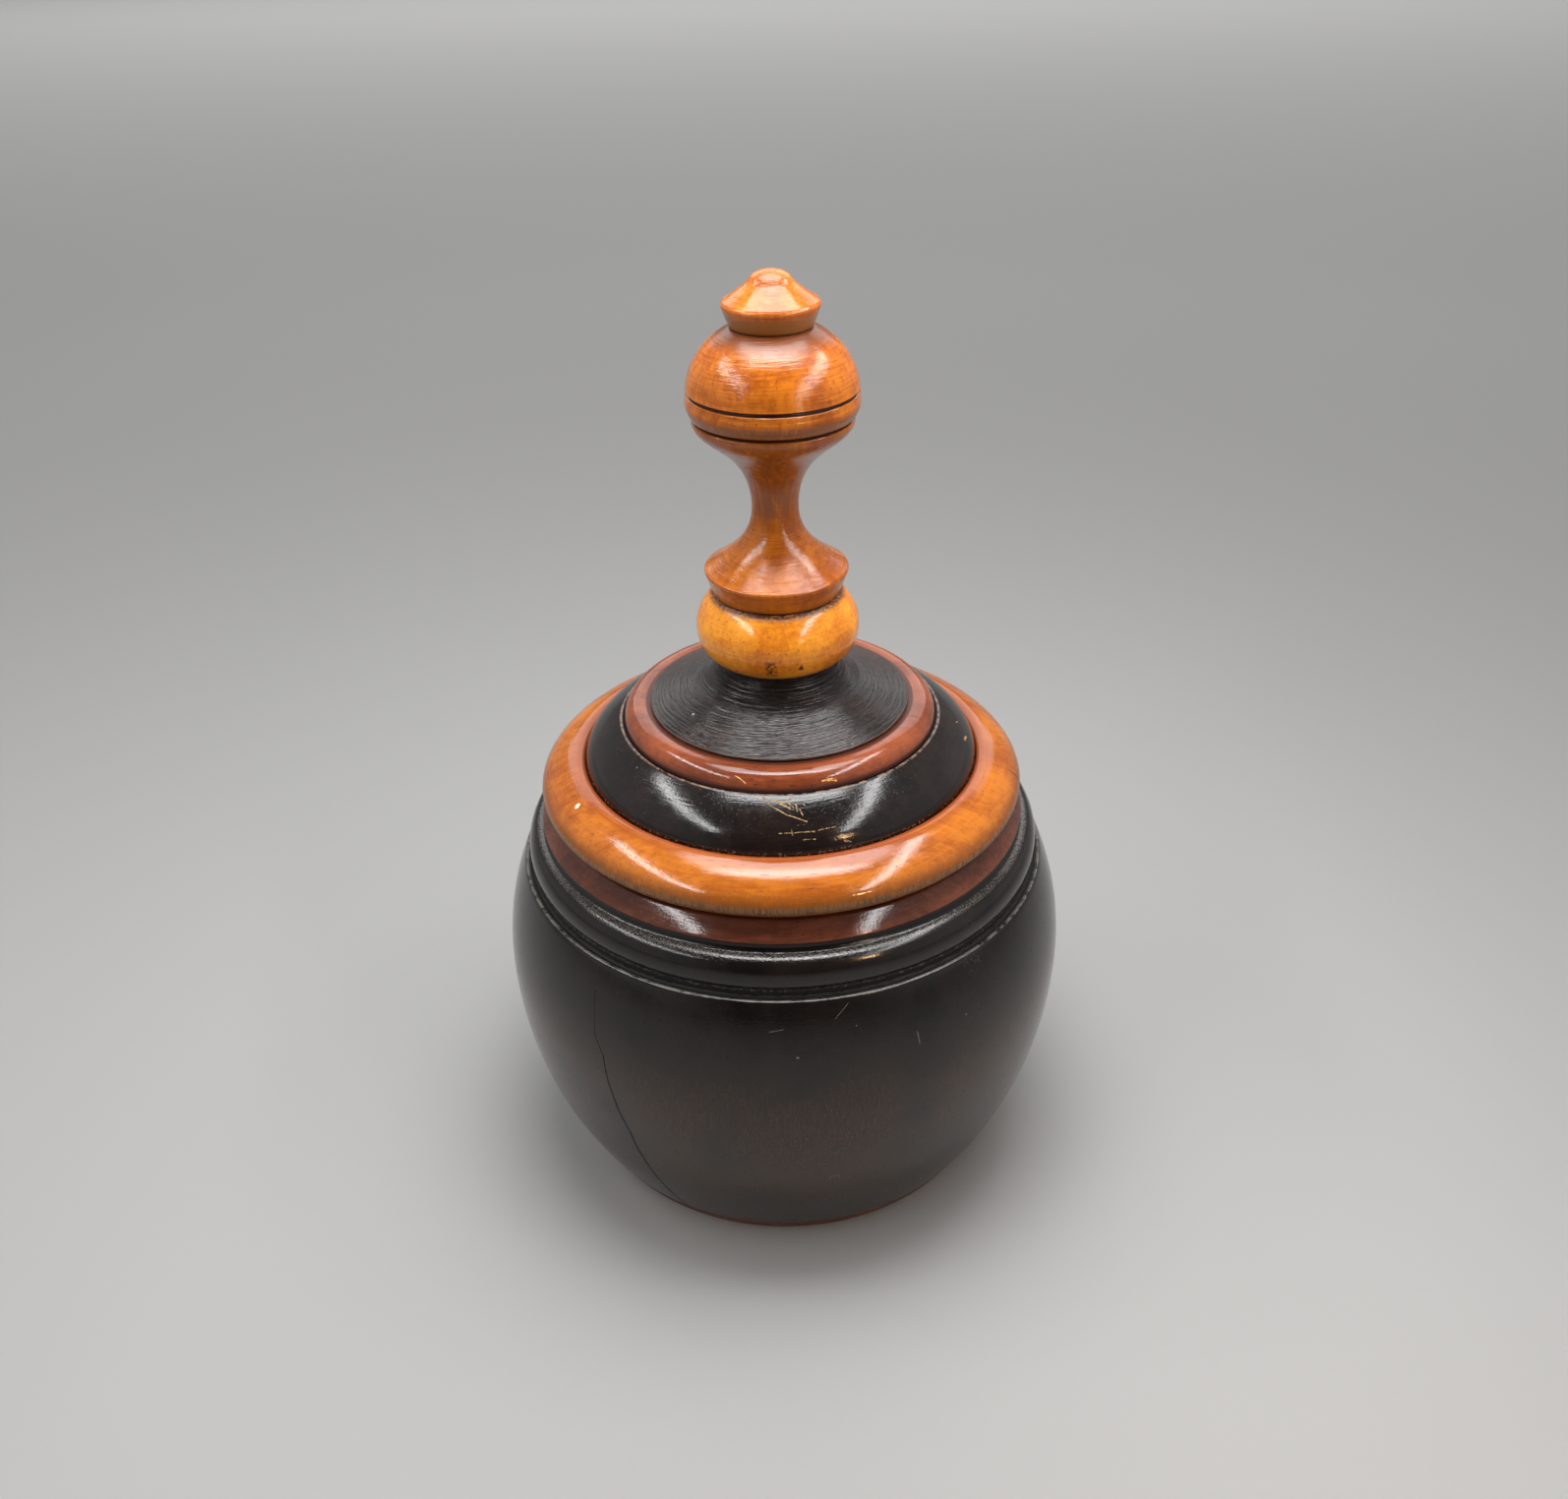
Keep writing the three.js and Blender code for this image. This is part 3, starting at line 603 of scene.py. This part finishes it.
rim_side = (RIM_RADIUS, LID_BASE + RIM_LOWER_HEIGHT)
rebate = DOME_RADIUS + GLUE_GAP
rim = turn("lid-rim", [
    (RIM_SPIGOT - 0.8, RIM_SPIGOT_END),
    (RIM_SPIGOT, RIM_SPIGOT_END + 0.8),
    (RIM_SPIGOT, LID_BASE),
    (57.4, LID_BASE),
    *arc(RIM_RADIUS - RIM_LOWER_WIDTH, rim_side[1], RIM_LOWER_WIDTH, RIM_LOWER_HEIGHT, -88, 0, 22),
    *sweep(rim_side, (0, 3.6), (3.6, -1.0), RIM_CREST, 28)[1:],
    *sweep(RIM_CREST, (-1.1, 0.3), (0.35, 0.55), (rebate + 0.15, RIM_TOP - 0.2), 8)[1:],
    (rebate, RIM_TOP - 0.5),
    (rebate, DOME_SEAT),
    (RIM_BORE, DOME_SEAT),
    (RIM_BORE, RIM_SPIGOT_END),
    (RIM_SPIGOT - 0.8, RIM_SPIGOT_END),
], rounds=192, edge=0.15)

honey = {
    "Light": (0.53, 0.158, 0.015, 1), "Dark": (0.31, 0.070, 0.009, 1), "Pore": (0.10, 0.026, 0.008, 1),
    "Stretch": (0.12, 1, 1), "Fineness": 1.8, "Line depth": 0.014, "Polish": 0.09, "Uneven": 0.07,
    "Worn": (0.8, 0.6, 0.35, 1), "Wear": 0.35,
}
inner_stain = (0.27, 0.058, 0.014)
ring_stain = (0.28, 0.058, 0.012)
low_stain = (0.27, 0.078, 0.012)
end_grain = (0.25, 0.110, 0.030)
thread_brown = (0.13, 0.046, 0.012)
fleck_brown = (0.20, 0.055, 0.012)
edge_tan = (0.30, 0.17, 0.06)
chip_cream = (0.9, 0.75, 0.5)
check_brown = (0.06, 0.02, 0.008)

rim_finish = wood("honey-stained rim", honey)
inner_edge = band(rim_finish, "Radius", rebate, 0.6, 2.6)
inner_edge = both(rim_finish, inner_edge, band(rim_finish, "Height", RIM_TOP + 0.9, 1.7, 0.5))
lay(rim_finish, inner_edge, inner_stain)
rings = add(rim_finish["tree"], "Group", {"Fineness": 1.6, "Broken": 0.04}, node_tree=LINES)["Lines"]
rings = both(rim_finish, band(rim_finish, "Radius", RIM_CREST[0] - 0.4, 1.0, 1.6), rings)
lay(rim_finish, rings, ring_stain)
low_tone = flecks(rim_finish, band(rim_finish, "Height", LID_BASE + 4.7, 1.6, 2.8), (0.5, 0.5, 0.3), 0.1, 0.6)
lay(rim_finish, low_tone, low_stain)
fringe = band(rim_finish, "Height", LID_BASE + 3.1, 1.5, 1.7)
lay(rim_finish, flecks(rim_finish, fringe, (1.1, 1.1, 0.06), 0.28, 0.50), end_grain, rough=0.4)
lay(rim_finish, flecks(rim_finish, fringe, (2.0, 2.0, 0.1), 0.50, 0.60), thread_brown)
fleck_band = band(rim_finish, "Height", LID_BASE + 7.3, 1.0, 2.2)
lay(rim_finish, flecks(rim_finish, fleck_band, (2.2, 2.2, 1.4), 0.58, 0.68), fleck_brown)
lay(rim_finish, band(rim_finish, "Height", LID_BASE + 2.6, 0.1, 0.15), edge_tan, rough=0.35)
chip = stroke(rim_finish, "From above", (-53.2, -28.4), (-53.0, -28.0), 1.3, 0.3)
lay(rim_finish, chip, chip_cream)
check = stroke(rim_finish, "From above", (61.7, -12.4), (65.8, -12.5), 0.45, 0.3)
lay(rim_finish, check, check_brown, rough=0.6, depth=0.1)
coat(rim, rim_finish)
bare(rim, raw_wood, lambda radius, height, outward, up: height < LID_BASE + 0.4 or radius < RIM_BORE + 1.5)
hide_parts("lid_rim")
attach(rim, "lid")


# LID DOME. A black convex disc glued into the rim's rebate, hollowed underneath. A rough groove runs
# between the lip at its top and the accent ring.

DOME_TOP = 134.5
DOME_LIP = 43.2
DOME_GROOVE = 42.3
ACCENT_SEAT = 133.6
CROWN_TENON = 18
CROWN_TENON_END = 127.4
HOLLOW_RADIUS = 46

crown_hole = CROWN_TENON + GLUE_GAP
dome = turn("lid-dome", [
    (HOLLOW_RADIUS, DOME_SEAT),
    (DOME_RADIUS, DOME_SEAT),
    *sweep((DOME_RADIUS, RIM_TOP), (-0.6, 4.4), (4.3, -2.45), (DOME_LIP, DOME_TOP), 28),
    (DOME_LIP - 0.4, DOME_TOP),
    (DOME_GROOVE, DOME_TOP - 0.5),
    (DOME_GROOVE - 0.2, ACCENT_SEAT),
    (crown_hole, ACCENT_SEAT),
    (crown_hole, CROWN_TENON_END),
    *sweep((crown_hole + 6, CROWN_TENON_END), (13.7, 0), (0, 5.9), (HOLLOW_RADIUS, DOME_SEAT), 16),
], rounds=192, edge=0.12)
nibble_brown = (0.20, 0.12, 0.07)
lip_brown = (0.17, 0.10, 0.07)
groove_brown = (0.02, 0.012, 0.010)
pale_wood = (0.46, 0.27, 0.10)

dome_finish = wood("black-stained dome", black | {
    "Light": (0.0160, 0.0095, 0.0075, 1), "Dark": (0.0070, 0.0050, 0.0045, 1), "Line depth": 0.03,
    "Fineness": 1.5, "Wear": 0.7})
nibbles = band(dome_finish, "Height", RIM_TOP + 0.1, 0.4, 0.3)
nibbles = flecks(dome_finish, nibbles, (1.3, 1.3, 1.3), 0.55, 0.65)
lay(dome_finish, nibbles, nibble_brown, rough=0.5, depth=0.05)
lip = band(dome_finish, "Radius", DOME_LIP - 0.1, 0.25, 0.2)
lip = flecks(dome_finish, lip, (0.5, 0.5, 0.5), 0.38, 0.62)
lay(dome_finish, lip, lip_brown, rough=0.3)
lay(dome_finish, band(dome_finish, "Radius", DOME_GROOVE, 0.35, 0.15), groove_brown, rough=0.6)

# chips where the black has come off the pale wood, each from a place to a place with its width
chips = (
    ((-4.4, -43.7), (-2.6, -45.6), 0.2), ((-2.6, -45.6), (1.2, -47.6), 0.24),
    ((1.2, -47.6), (6.2, -48.8), 0.2), ((-2.2, -44.4), (0.9, -44.9), 0.3),
    ((-0.3, -45.2), (2.1, -46.2), 0.42), ((1.8, -45.0), (2.9, -46.0), 0.3),
    ((3.6, -45.3), (3.9, -46.8), 0.3), ((4.5, -46.4), (5.2, -47.6), 0.26), ((5.3, -44.8), (5.7, -45.5), 0.22),
    ((-0.7, -51.0), (3.2, -50.9), 0.1), ((2.4, -50.4), (2.7, -51.3), 0.1), ((3.2, -50.9), (8.0, -50.4), 0.13),
    ((8.0, -50.4), (13.3, -49.0), 0.1), ((3.9, -49.6), (5.6, -49.4), 0.1), ((4.6, -51.9), (8.2, -51.5), 0.1),
    ((15.4, -50.6), (17.0, -50.3), 0.14), ((17.2, -51.0), (19.0, -50.4), 0.14),
    ((49.6, -9.6), (50.3, -7.4), 0.45), ((47.8, -4.4), (48.3, -3.2), 0.25),
)
for start, stop, width in chips:
    torn = stroke(dome_finish, "From above", start, stop, width, 0.6)
    torn = flecks(dome_finish, torn, (3.1, 3.1, 3.1), 0.36, 0.52)
    lay(dome_finish, torn, pale_wood, rough=0.4, depth=0.05)
coat(dome, dome_finish)
bare(dome, raw_wood, lambda radius, height, outward, up: up < -0.1)
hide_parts("lid_dome")
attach(dome, "lid")


# ACCENT RING. A round bead of red-brown wood between the dome and the crown, glued to both. The crown's
# tenon runs down through its bore.

ACCENT_RADIUS = 42.1
ACCENT_WIDTH = 4.4
ACCENT_HEIGHT = 4.8
ACCENT_TOP = 138.5
CROWN_FOOT = 34.2

accent = turn("accent-ring", [
    (crown_hole, ACCENT_SEAT),
    *arc(ACCENT_RADIUS - ACCENT_WIDTH, ACCENT_SEAT + 0.6, ACCENT_WIDTH, ACCENT_HEIGHT, 0, 100, 20),
    (CROWN_FOOT + 1.4, ACCENT_TOP + 0.05),
    (CROWN_FOOT, ACCENT_TOP),
    (crown_hole, ACCENT_TOP),
    (crown_hole, ACCENT_SEAT),
], rounds=160, edge=0)
seam_brown = (0.07, 0.018, 0.010)
foot_brown = (0.06, 0.018, 0.012)
scratch_gold = (0.75, 0.42, 0.12)

accent_finish = wood("red-brown accent ring", red | {
    "Light": (0.29, 0.072, 0.027, 1), "Dark": (0.16, 0.036, 0.014, 1), "Balance": 0.52})
lay(accent_finish, band(accent_finish, "Radius", CROWN_FOOT + 1.2, 0.5, 0.5), seam_brown, rough=0.45)
lay(accent_finish, band(accent_finish, "Radius", ACCENT_RADIUS + 0.1, 0.1, 0.3), foot_brown, rough=0.45)
for start, stop, width in (((-11.2, -39.1), (-8.8, -40.6), 0.15), ((10.2, -40.3), (13.9, -39.4), 0.12)):
    mark = stroke(accent_finish, "From above", start, stop, width, 0.4)
    lay(accent_finish, mark, scratch_gold, rough=0.4)
coat(accent, accent_finish)
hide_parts("accent_ring")
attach(accent, "lid")


# LID CROWN. A black disc with a thin sharp edge and a hollow upper face that runs up into a neck, left
# with the ridges of the tool. Its tenon goes down through the accent ring and the dome.

CROWN_TOP = 152.3
CROWN_EDGE = 34.8
RIDGES = 3
RIDGE_RADIUS = 16.2
RIDGE_GROWTH = 0.05
SPINDLE_TENON = 5
SPINDLE_TENON_END = 140.3

neck = []
for i in range(RIDGES, 0, -1):
    ridge = RIDGE_RADIUS + RIDGE_GROWTH * i * i
    level = CROWN_TOP - 0.4 - i
    for inward, lift in ((0.1, -0.15), (0, 0), (0.1, 0.15), (0.5, 0.5)):
        neck.append((ridge - inward, level + lift))

spindle_hole = SPINDLE_TENON + GLUE_GAP
crown = turn("lid-crown", [
    (0, CROWN_TENON_END),
    (CROWN_TENON, CROWN_TENON_END),
    (CROWN_TENON, ACCENT_TOP),
    (CROWN_FOOT, ACCENT_TOP),
    (CROWN_EDGE, ACCENT_TOP + 0.8),
    *sweep((CROWN_EDGE - 0.1, ACCENT_TOP + 1), (-6, 2.1), (1.5, -2.4), (17.4, CROWN_TOP - 4), 36),
    *neck,
    (RIDGE_RADIUS, CROWN_TOP - 0.2),
    (RIDGE_RADIUS - 0.2, CROWN_TOP),
    (spindle_hole, CROWN_TOP),
    (spindle_hole, SPINDLE_TENON_END - GLUE_GAP),
    (0, SPINDLE_TENON_END - GLUE_GAP),
], rounds=192, edge=0)
edge_brown = (0.06, 0.028, 0.018)
dust_grey = (0.4, 0.34, 0.26)

crown_finish = wood("black-stained crown", black | {
    "Light": (0.022, 0.0118, 0.0085, 1), "Dark": (0.0090, 0.0056, 0.0048, 1), "Stretch": (0.2, 1, 1),
    "Fineness": 1.7, "Line depth": 0.30, "Polish": 0.15, "Uneven": 0.08, "Wear": 0.4})
tooled = add(crown_finish["tree"], "Group", {"Fineness": 3.2, "Broken": 0.02}, node_tree=LINES)["Lines"]
neck_foot = band(crown_finish, "Radius", 18, 2, 3)
tooled = both(crown_finish, neck_foot, spread(crown_finish["tree"], tooled, 0.42, 0.6))
lay(crown_finish, tooled, rough=0.16, depth=0.26)
lay(crown_finish, band(crown_finish, "Radius", CROWN_EDGE, 0.15, 0.2), edge_brown, rough=0.3)
dust = stroke(crown_finish, "From above", (-22.6, -16.0), (-22.4, -16.1), 0.55, 0.2)
lay(crown_finish, dust, dust_grey)
coat(crown, crown_finish)
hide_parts("lid_crown")
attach(crown, "lid")


# FINIAL BULB. A squat bead of honey-coloured wood, bored through for the spindle's tenon, which holds it
# between the crown's neck and the cup. Dark glue shows at its top.

BULB_TOP = 170.4
BULB_SIDE = (21.4, 161)

bulb = turn("finial-bulb", [
    (spindle_hole, CROWN_TOP),
    (15.4, CROWN_TOP),
    *sweep((16.9, CROWN_TOP + 0.3), (2.9, 1.7), (0, -4.1), BULB_SIDE, 16),
    *sweep(BULB_SIDE, (0, 4.1), (2, -1.6), (16.4, BULB_TOP), 16)[1:],
    (spindle_hole, BULB_TOP),
    (spindle_hole, CROWN_TOP),
], rounds=128, edge=0.12)
turned_honey = honey | {
    "Light": (0.58, 0.162, 0.012, 1), "Dark": (0.32, 0.068, 0.007, 1), "Stretch": (1, 1, 0.2),
    "Balance": 0.5}
rubbed_gold = (0.48, 0.25, 0.07)
glue_brown = (0.085, 0.024, 0.012)
smudge_brown = (0.10, 0.045, 0.014)
knot_brown = (0.09, 0.028, 0.010)

# the bulb's colours are much lighter than the other honey pieces: a painted brightening for the light that
# falls on it
bulb_finish = wood("honey-stained bulb", turned_honey | {
    "Light": (0.95, 0.36, 0.026, 1), "Dark": (0.62, 0.165, 0.012, 1), "Pore size": 0.34,
    "Stretch": (1, 1, 0.4), "Line depth": 0.04})
lay(bulb_finish, band(bulb_finish, "Height", CROWN_TOP + 0.9, 0.5, 0.7), rubbed_gold, rough=0.35)
glue_line = flecks(bulb_finish, band(bulb_finish, "Height", BULB_TOP, 0.3, 1.3), (1.2, 1.2, 0.6), 0.3, 0.55)
lay(bulb_finish, glue_line, glue_brown, rough=0.35, depth=0.1)
smudge = stroke(bulb_finish, "From above", (-1.9, -20.5), (-1.5, -18.5), 3.0, 1.6)
smudge = flecks(bulb_finish, smudge, (1.6, 1.6, 0.8), 0.40, 0.60)
smudge = both(bulb_finish, smudge, band(bulb_finish, "Height", CROWN_TOP + 5.1, 1.8, 1.2))
lay(bulb_finish, smudge, smudge_brown)
knot = stroke(bulb_finish, "From above", (5.6, -19.6), (6.1, -18.6), 1.5, 0.8)
knot = both(bulb_finish, knot, band(bulb_finish, "Height", CROWN_TOP + 5.3, 0.6, 0.5))
lay(bulb_finish, knot, knot_brown)
coat(bulb, bulb_finish)
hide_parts("finial_bulb")
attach(bulb, "lid")


# FINIAL SPINDLE. One turned piece with a cup, a thin stem and a ball cut by two grooves. Its tenon goes
# down through the bulb into the crown.

SPINDLE_TOP = 238
CUP_RIM = BULB_TOP + 6
CUP_FOOT_RADIUS = 16.8
WAIST = (5.95, BULB_TOP + 22.9)
BALL = BULB_TOP + 51.9
BALL_RADIUS = 21.15
BALL_HALF = 18
UPPER_GROOVE = BALL + 0.7
LOWER_GROOVE = BALL - 5.7
BELT_FOOT = BALL - 4.6
BELT_STEPS = 10
BELT_STEP = 0.4
BELT_SWELL = 0.35
BALL_FOOT = BALL - 6.4
FOOT_LOSS = 1.1
CAP_TENON = 3
CAP_TENON_END = 230


def band_radius(z):
    """Radius of the ball below its middle, where the grooved band gets slowly smaller."""
    drop = max(0, BALL - z) / (BALL - BALL_FOOT)
    return BALL_RADIUS - FOOT_LOSS * drop * drop


def groove(z, half, depth):
    """A narrow groove in the ball's face, with rounded lips and a rounded bottom."""
    across = ((-1.6, 0), (-1.25, 0.05), (-1, 0.2), (-0.75, 0.55), (-0.4, 0.9), (0, 1), (0.4, 0.9),
              (0.75, 0.55), (1, 0.2), (1.25, 0.05), (1.6, 0))
    return [(band_radius(z + step * half) - deep * depth, z + step * half) for step, deep in across]


belt = []
for i in range(BELT_STEPS + 1):
    level = BELT_FOOT + i * BELT_STEP
    belt.append((band_radius(level) + BELT_SWELL * math.sin(math.pi * i / BELT_STEPS), level))

cap_hole = CAP_TENON + GLUE_GAP
ball_end = math.degrees(math.asin((SPINDLE_TOP - BALL) / BALL_HALF))
spindle = turn("finial-spindle", [
    (0, SPINDLE_TENON_END),
    (SPINDLE_TENON, SPINDLE_TENON_END),
    (SPINDLE_TENON, BULB_TOP),
    (CUP_FOOT_RADIUS - 0.6, BULB_TOP),
    (CUP_FOOT_RADIUS, BULB_TOP + 0.6),
    (17.9, BULB_TOP + 4),
    *arc(18.0, CUP_RIM, 0.6, 0.75, -40, 60, 6),
    *sweep((18.2, CUP_RIM + 0.7), (-5.7, 3.7), (0, -8.4), WAIST, 34),
    *sweep(WAIST, (0, 15.6), (0, -5.6), (band_radius(BALL_FOOT), BALL_FOOT), 34)[1:-1],
    *groove(LOWER_GROOVE, 0.5, 1.2),
    *belt,
    *groove(UPPER_GROOVE, 0.45, 0.8),
    *arc(0, BALL, BALL_RADIUS, BALL_HALF, 5.4, ball_end, 30),
    (cap_hole, SPINDLE_TOP),
    (cap_hole, CAP_TENON_END - GLUE_GAP),
    (0, CAP_TENON_END - GLUE_GAP),
], rounds=128, edge=0.1)
stem_streak_and_shade_brown = (0.24, 0.066, 0.011)
belt_brown = (0.24, 0.075, 0.016)
groove_shade_dark = (0.035, 0.010, 0.004)
joint_dark = (0.07, 0.022, 0.010)
cap_shade_brown = (0.17, 0.044, 0.010)

spindle_finish = wood("honey-stained spindle", turned_honey | {"Line depth": 0.09, "Line colour": 0.3})
# brown streaks down the stem's funnel, which also paint the shade under the ball there
stem_streaks_and_shade = band(spindle_finish, "Height", WAIST[1] + 9.7, 8, 10)
lay(spindle_finish, flecks(spindle_finish, stem_streaks_and_shade, (0.9, 0.9, 0.06), 0.25, 0.6), stem_streak_and_shade_brown)
belt_tone = band(spindle_finish, "Height", BELT_FOOT + 0.4, 0.9, 1.6)
lay(spindle_finish, flecks(spindle_finish, belt_tone, (1.2, 1.2, 0.1), 0.2, 0.6), belt_brown)
# painted shade: the two grooves in the ball are coloured dark
for level in (LOWER_GROOVE, UPPER_GROOVE):
    lay(spindle_finish, band(spindle_finish, "Height", level, 0.2, 0.4), groove_shade_dark, rough=0.3)
lay(spindle_finish, band(spindle_finish, "Height", BULB_TOP, 0.5, 0.5), joint_dark, rough=0.55)
# painted shade: the ball's top round the cap's foot is coloured darker
lay(spindle_finish, band(spindle_finish, "Height", SPINDLE_TOP, 0.9, 3.4), cap_shade_brown, rough=0.25)
coat(spindle, spindle_finish)
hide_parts("finial_spindle")
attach(spindle, "lid")


# FINIAL CAP. A small pointed cap of the same wood with a sharp edge round its middle. It is set into the
# top of the ball with a tenon, and a dark line of painted shade runs round its foot.

NUB = 248.6

cap = turn("finial-cap", [
    (0, CAP_TENON_END),
    (CAP_TENON, CAP_TENON_END),
    (CAP_TENON, SPINDLE_TOP),
    (10, SPINDLE_TOP),
    (11.4, SPINDLE_TOP + 3.7),
    *arc(11.1, SPINDLE_TOP + 5.05, 0.75, 0.95, -35, 60, 8),
    *sweep((11.4, SPINDLE_TOP + 6.05), (-1.9, 1.1), (0.55, -0.9), (5.25, NUB), 16),
    *arc(0, NUB - 0.3, 5.15, 2.6, 15, 90, 14),
], rounds=96, edge=0)
under_cone_shade_gold = (0.32, 0.12, 0.026)
foot_crease_shade = (0.06, 0.018, 0.008)

cap_finish = wood("honey-stained cap", turned_honey | {
    "Light": (0.62, 0.18, 0.018, 1), "Dark": (0.40, 0.088, 0.010, 1), "Line depth": 0.1})
# painted shade and a painted warm reflection: the cap's downward under-cone is coloured darker and warmer
lay(cap_finish, band(cap_finish, "Height", SPINDLE_TOP + 1.6, 1.4, 1.2), under_cone_shade_gold, rough=0.2)
# painted shade: a dark line in the crease round the cap's foot
lay(cap_finish, band(cap_finish, "Height", SPINDLE_TOP, 0.3, 0.4), foot_crease_shade, rough=0.5)
coat(cap, cap_finish)
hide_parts("finial_cap")
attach(cap, "lid")


# ROOM. A plain floor whose colour is painted paler away from the canister, as painted light on the far floor,
# soft lamps high at the left and right, a broad and a narrow one overhead, one far behind for the floor, a
# small warm one, and the camera, which stands a little above the finial and looks down at the canister.

FLOOR_WIDTH = 12
PALER_FROM = 0.1
PALEST_BY = 1.1
CAMERA_DOWN = math.radians(31.58)
CAMERA_LEAN = math.radians(-1.18)
near_grey = (0.385, 0.382, 0.376, 1)
far_grey = (0.70, 0.696, 0.684, 1)

bpy.ops.object.select_all(action="DESELECT")
bpy.ops.mesh.primitive_plane_add(size=FLOOR_WIDTH, location=(0, 0, 0))
floor = bpy.context.object
floor.name = "floor"
floor_finish = bpy.data.materials.new("pale floor")
floor_finish.use_nodes = True
sheet = floor_finish.node_tree
floor_shader = sheet.nodes["Principled BSDF"]
away = add(sheet, "VectorMath", {0: add(sheet, "TexCoord")["Object"]}, operation="LENGTH")["Value"]
# painted light: the floor's colour gets paler away from the canister, as if more light fell far off
painted_far_light = blend(sheet, spread(sheet, away, PALER_FROM, PALEST_BY), near_grey, far_grey)
sheet.links.new(painted_far_light, floor_shader.inputs["Base Color"])
floor_shader.inputs["Roughness"].default_value = 0.75
floor.data.materials.append(floor_finish)

# the room is dim in front, brighter behind and brightest at both sides, as the black wood mirrors it
front_grey = (0.035, 0.035, 0.036, 1)
back_grey = (0.17, 0.17, 0.172, 1)
side_grey = (0.42, 0.42, 0.425, 1)
room_light = bpy.data.worlds.new("room light")
room_light.use_nodes = True
sky = room_light.node_tree
toward = add(sky, "SeparateXYZ", {"Vector": add(sky, "TexCoord")["Generated"]})
behind = spread(sky, toward["Y"], -0.9, 0.1)
beside = spread(sky, calc(sky, "ABSOLUTE", toward["X"]), 0.3, 0.9)
tint = blend(sky, beside, blend(sky, behind, front_grey, back_grey), side_grey)
sky.links.new(tint, sky.nodes["Background"].inputs["Color"])
bpy.context.scene.world = room_light


def hang_lamp(name, near, far, width, aim, power, colour=(1, 1, 1), shape="RECTANGLE"):
    """Hangs a flat soft lamp between two points, turned towards a third; it lights but doesn't show."""
    near, far, aim = Vector(near), Vector(far), Vector(aim)
    data = bpy.data.lights.new(name, "AREA")
    data.shape = shape
    data.size = width
    data.size_y = (far - near).length
    data.energy = power
    data.color = colour
    length = (far - near).normalized()
    back = (near + far) / 2 - aim
    back = (back - length * back.dot(length)).normalized()
    lamp = bpy.data.objects.new(name, data)
    lamp.location = (near + far) / 2
    lamp.rotation_euler = Matrix((length.cross(back), length, back)).transposed().to_euler()
    bpy.context.scene.collection.objects.link(lamp)


MIDDLE = (0, 0, 0.12)
hang_lamp("left lamp", (-0.41, -0.50, 0.59), (-0.43, 0.14, 0.59), width=0.055, aim=MIDDLE, power=1.75)
hang_lamp("right lamp", (0.215, -0.31, 0.36), (0.14, 0.06, 0.35), width=0.028, aim=MIDDLE, power=0.5)
hang_lamp("top lamp", (0.01, -0.11, 0.50), (0.01, 0.19, 0.50), width=0.34, aim=(0.01, 0.04, 0),
          power=1.75, shape="ELLIPSE")
hang_lamp("strip lamp", (-0.15, -0.055, 0.50), (0.17, -0.055, 0.50), width=0.07, aim=(0.01, -0.02, 0),
          power=0.5, shape="ELLIPSE")
hang_lamp("far lamp", (-3.4, 4.9, 2.8), (3.4, 4.9, 2.8), width=3, aim=(0, 2.4, 0), power=95)
hang_lamp("warm lamp", (0.212, -0.358, 0.282), (0.236, -0.342, 0.282), width=0.03, aim=MIDDLE,
          power=0.16, colour=(1, 0.62, 0.32))

camera_data = bpy.data.cameras.new("camera")
camera_data.sensor_width = 36
camera_data.lens = 32.75
camera_data.clip_start = 0.01
camera = bpy.data.objects.new("camera", camera_data)
camera.location = (0.00096, -0.3374, 0.3285)
look_down = Matrix.Rotation(math.radians(90) - CAMERA_DOWN, 3, "X")
camera.rotation_euler = (look_down @ Matrix.Rotation(CAMERA_LEAN, 3, "Z")).to_euler()
bpy.context.scene.collection.objects.link(camera)
bpy.context.scene.camera = camera
bpy.context.scene.view_settings.view_transform = "Standard"
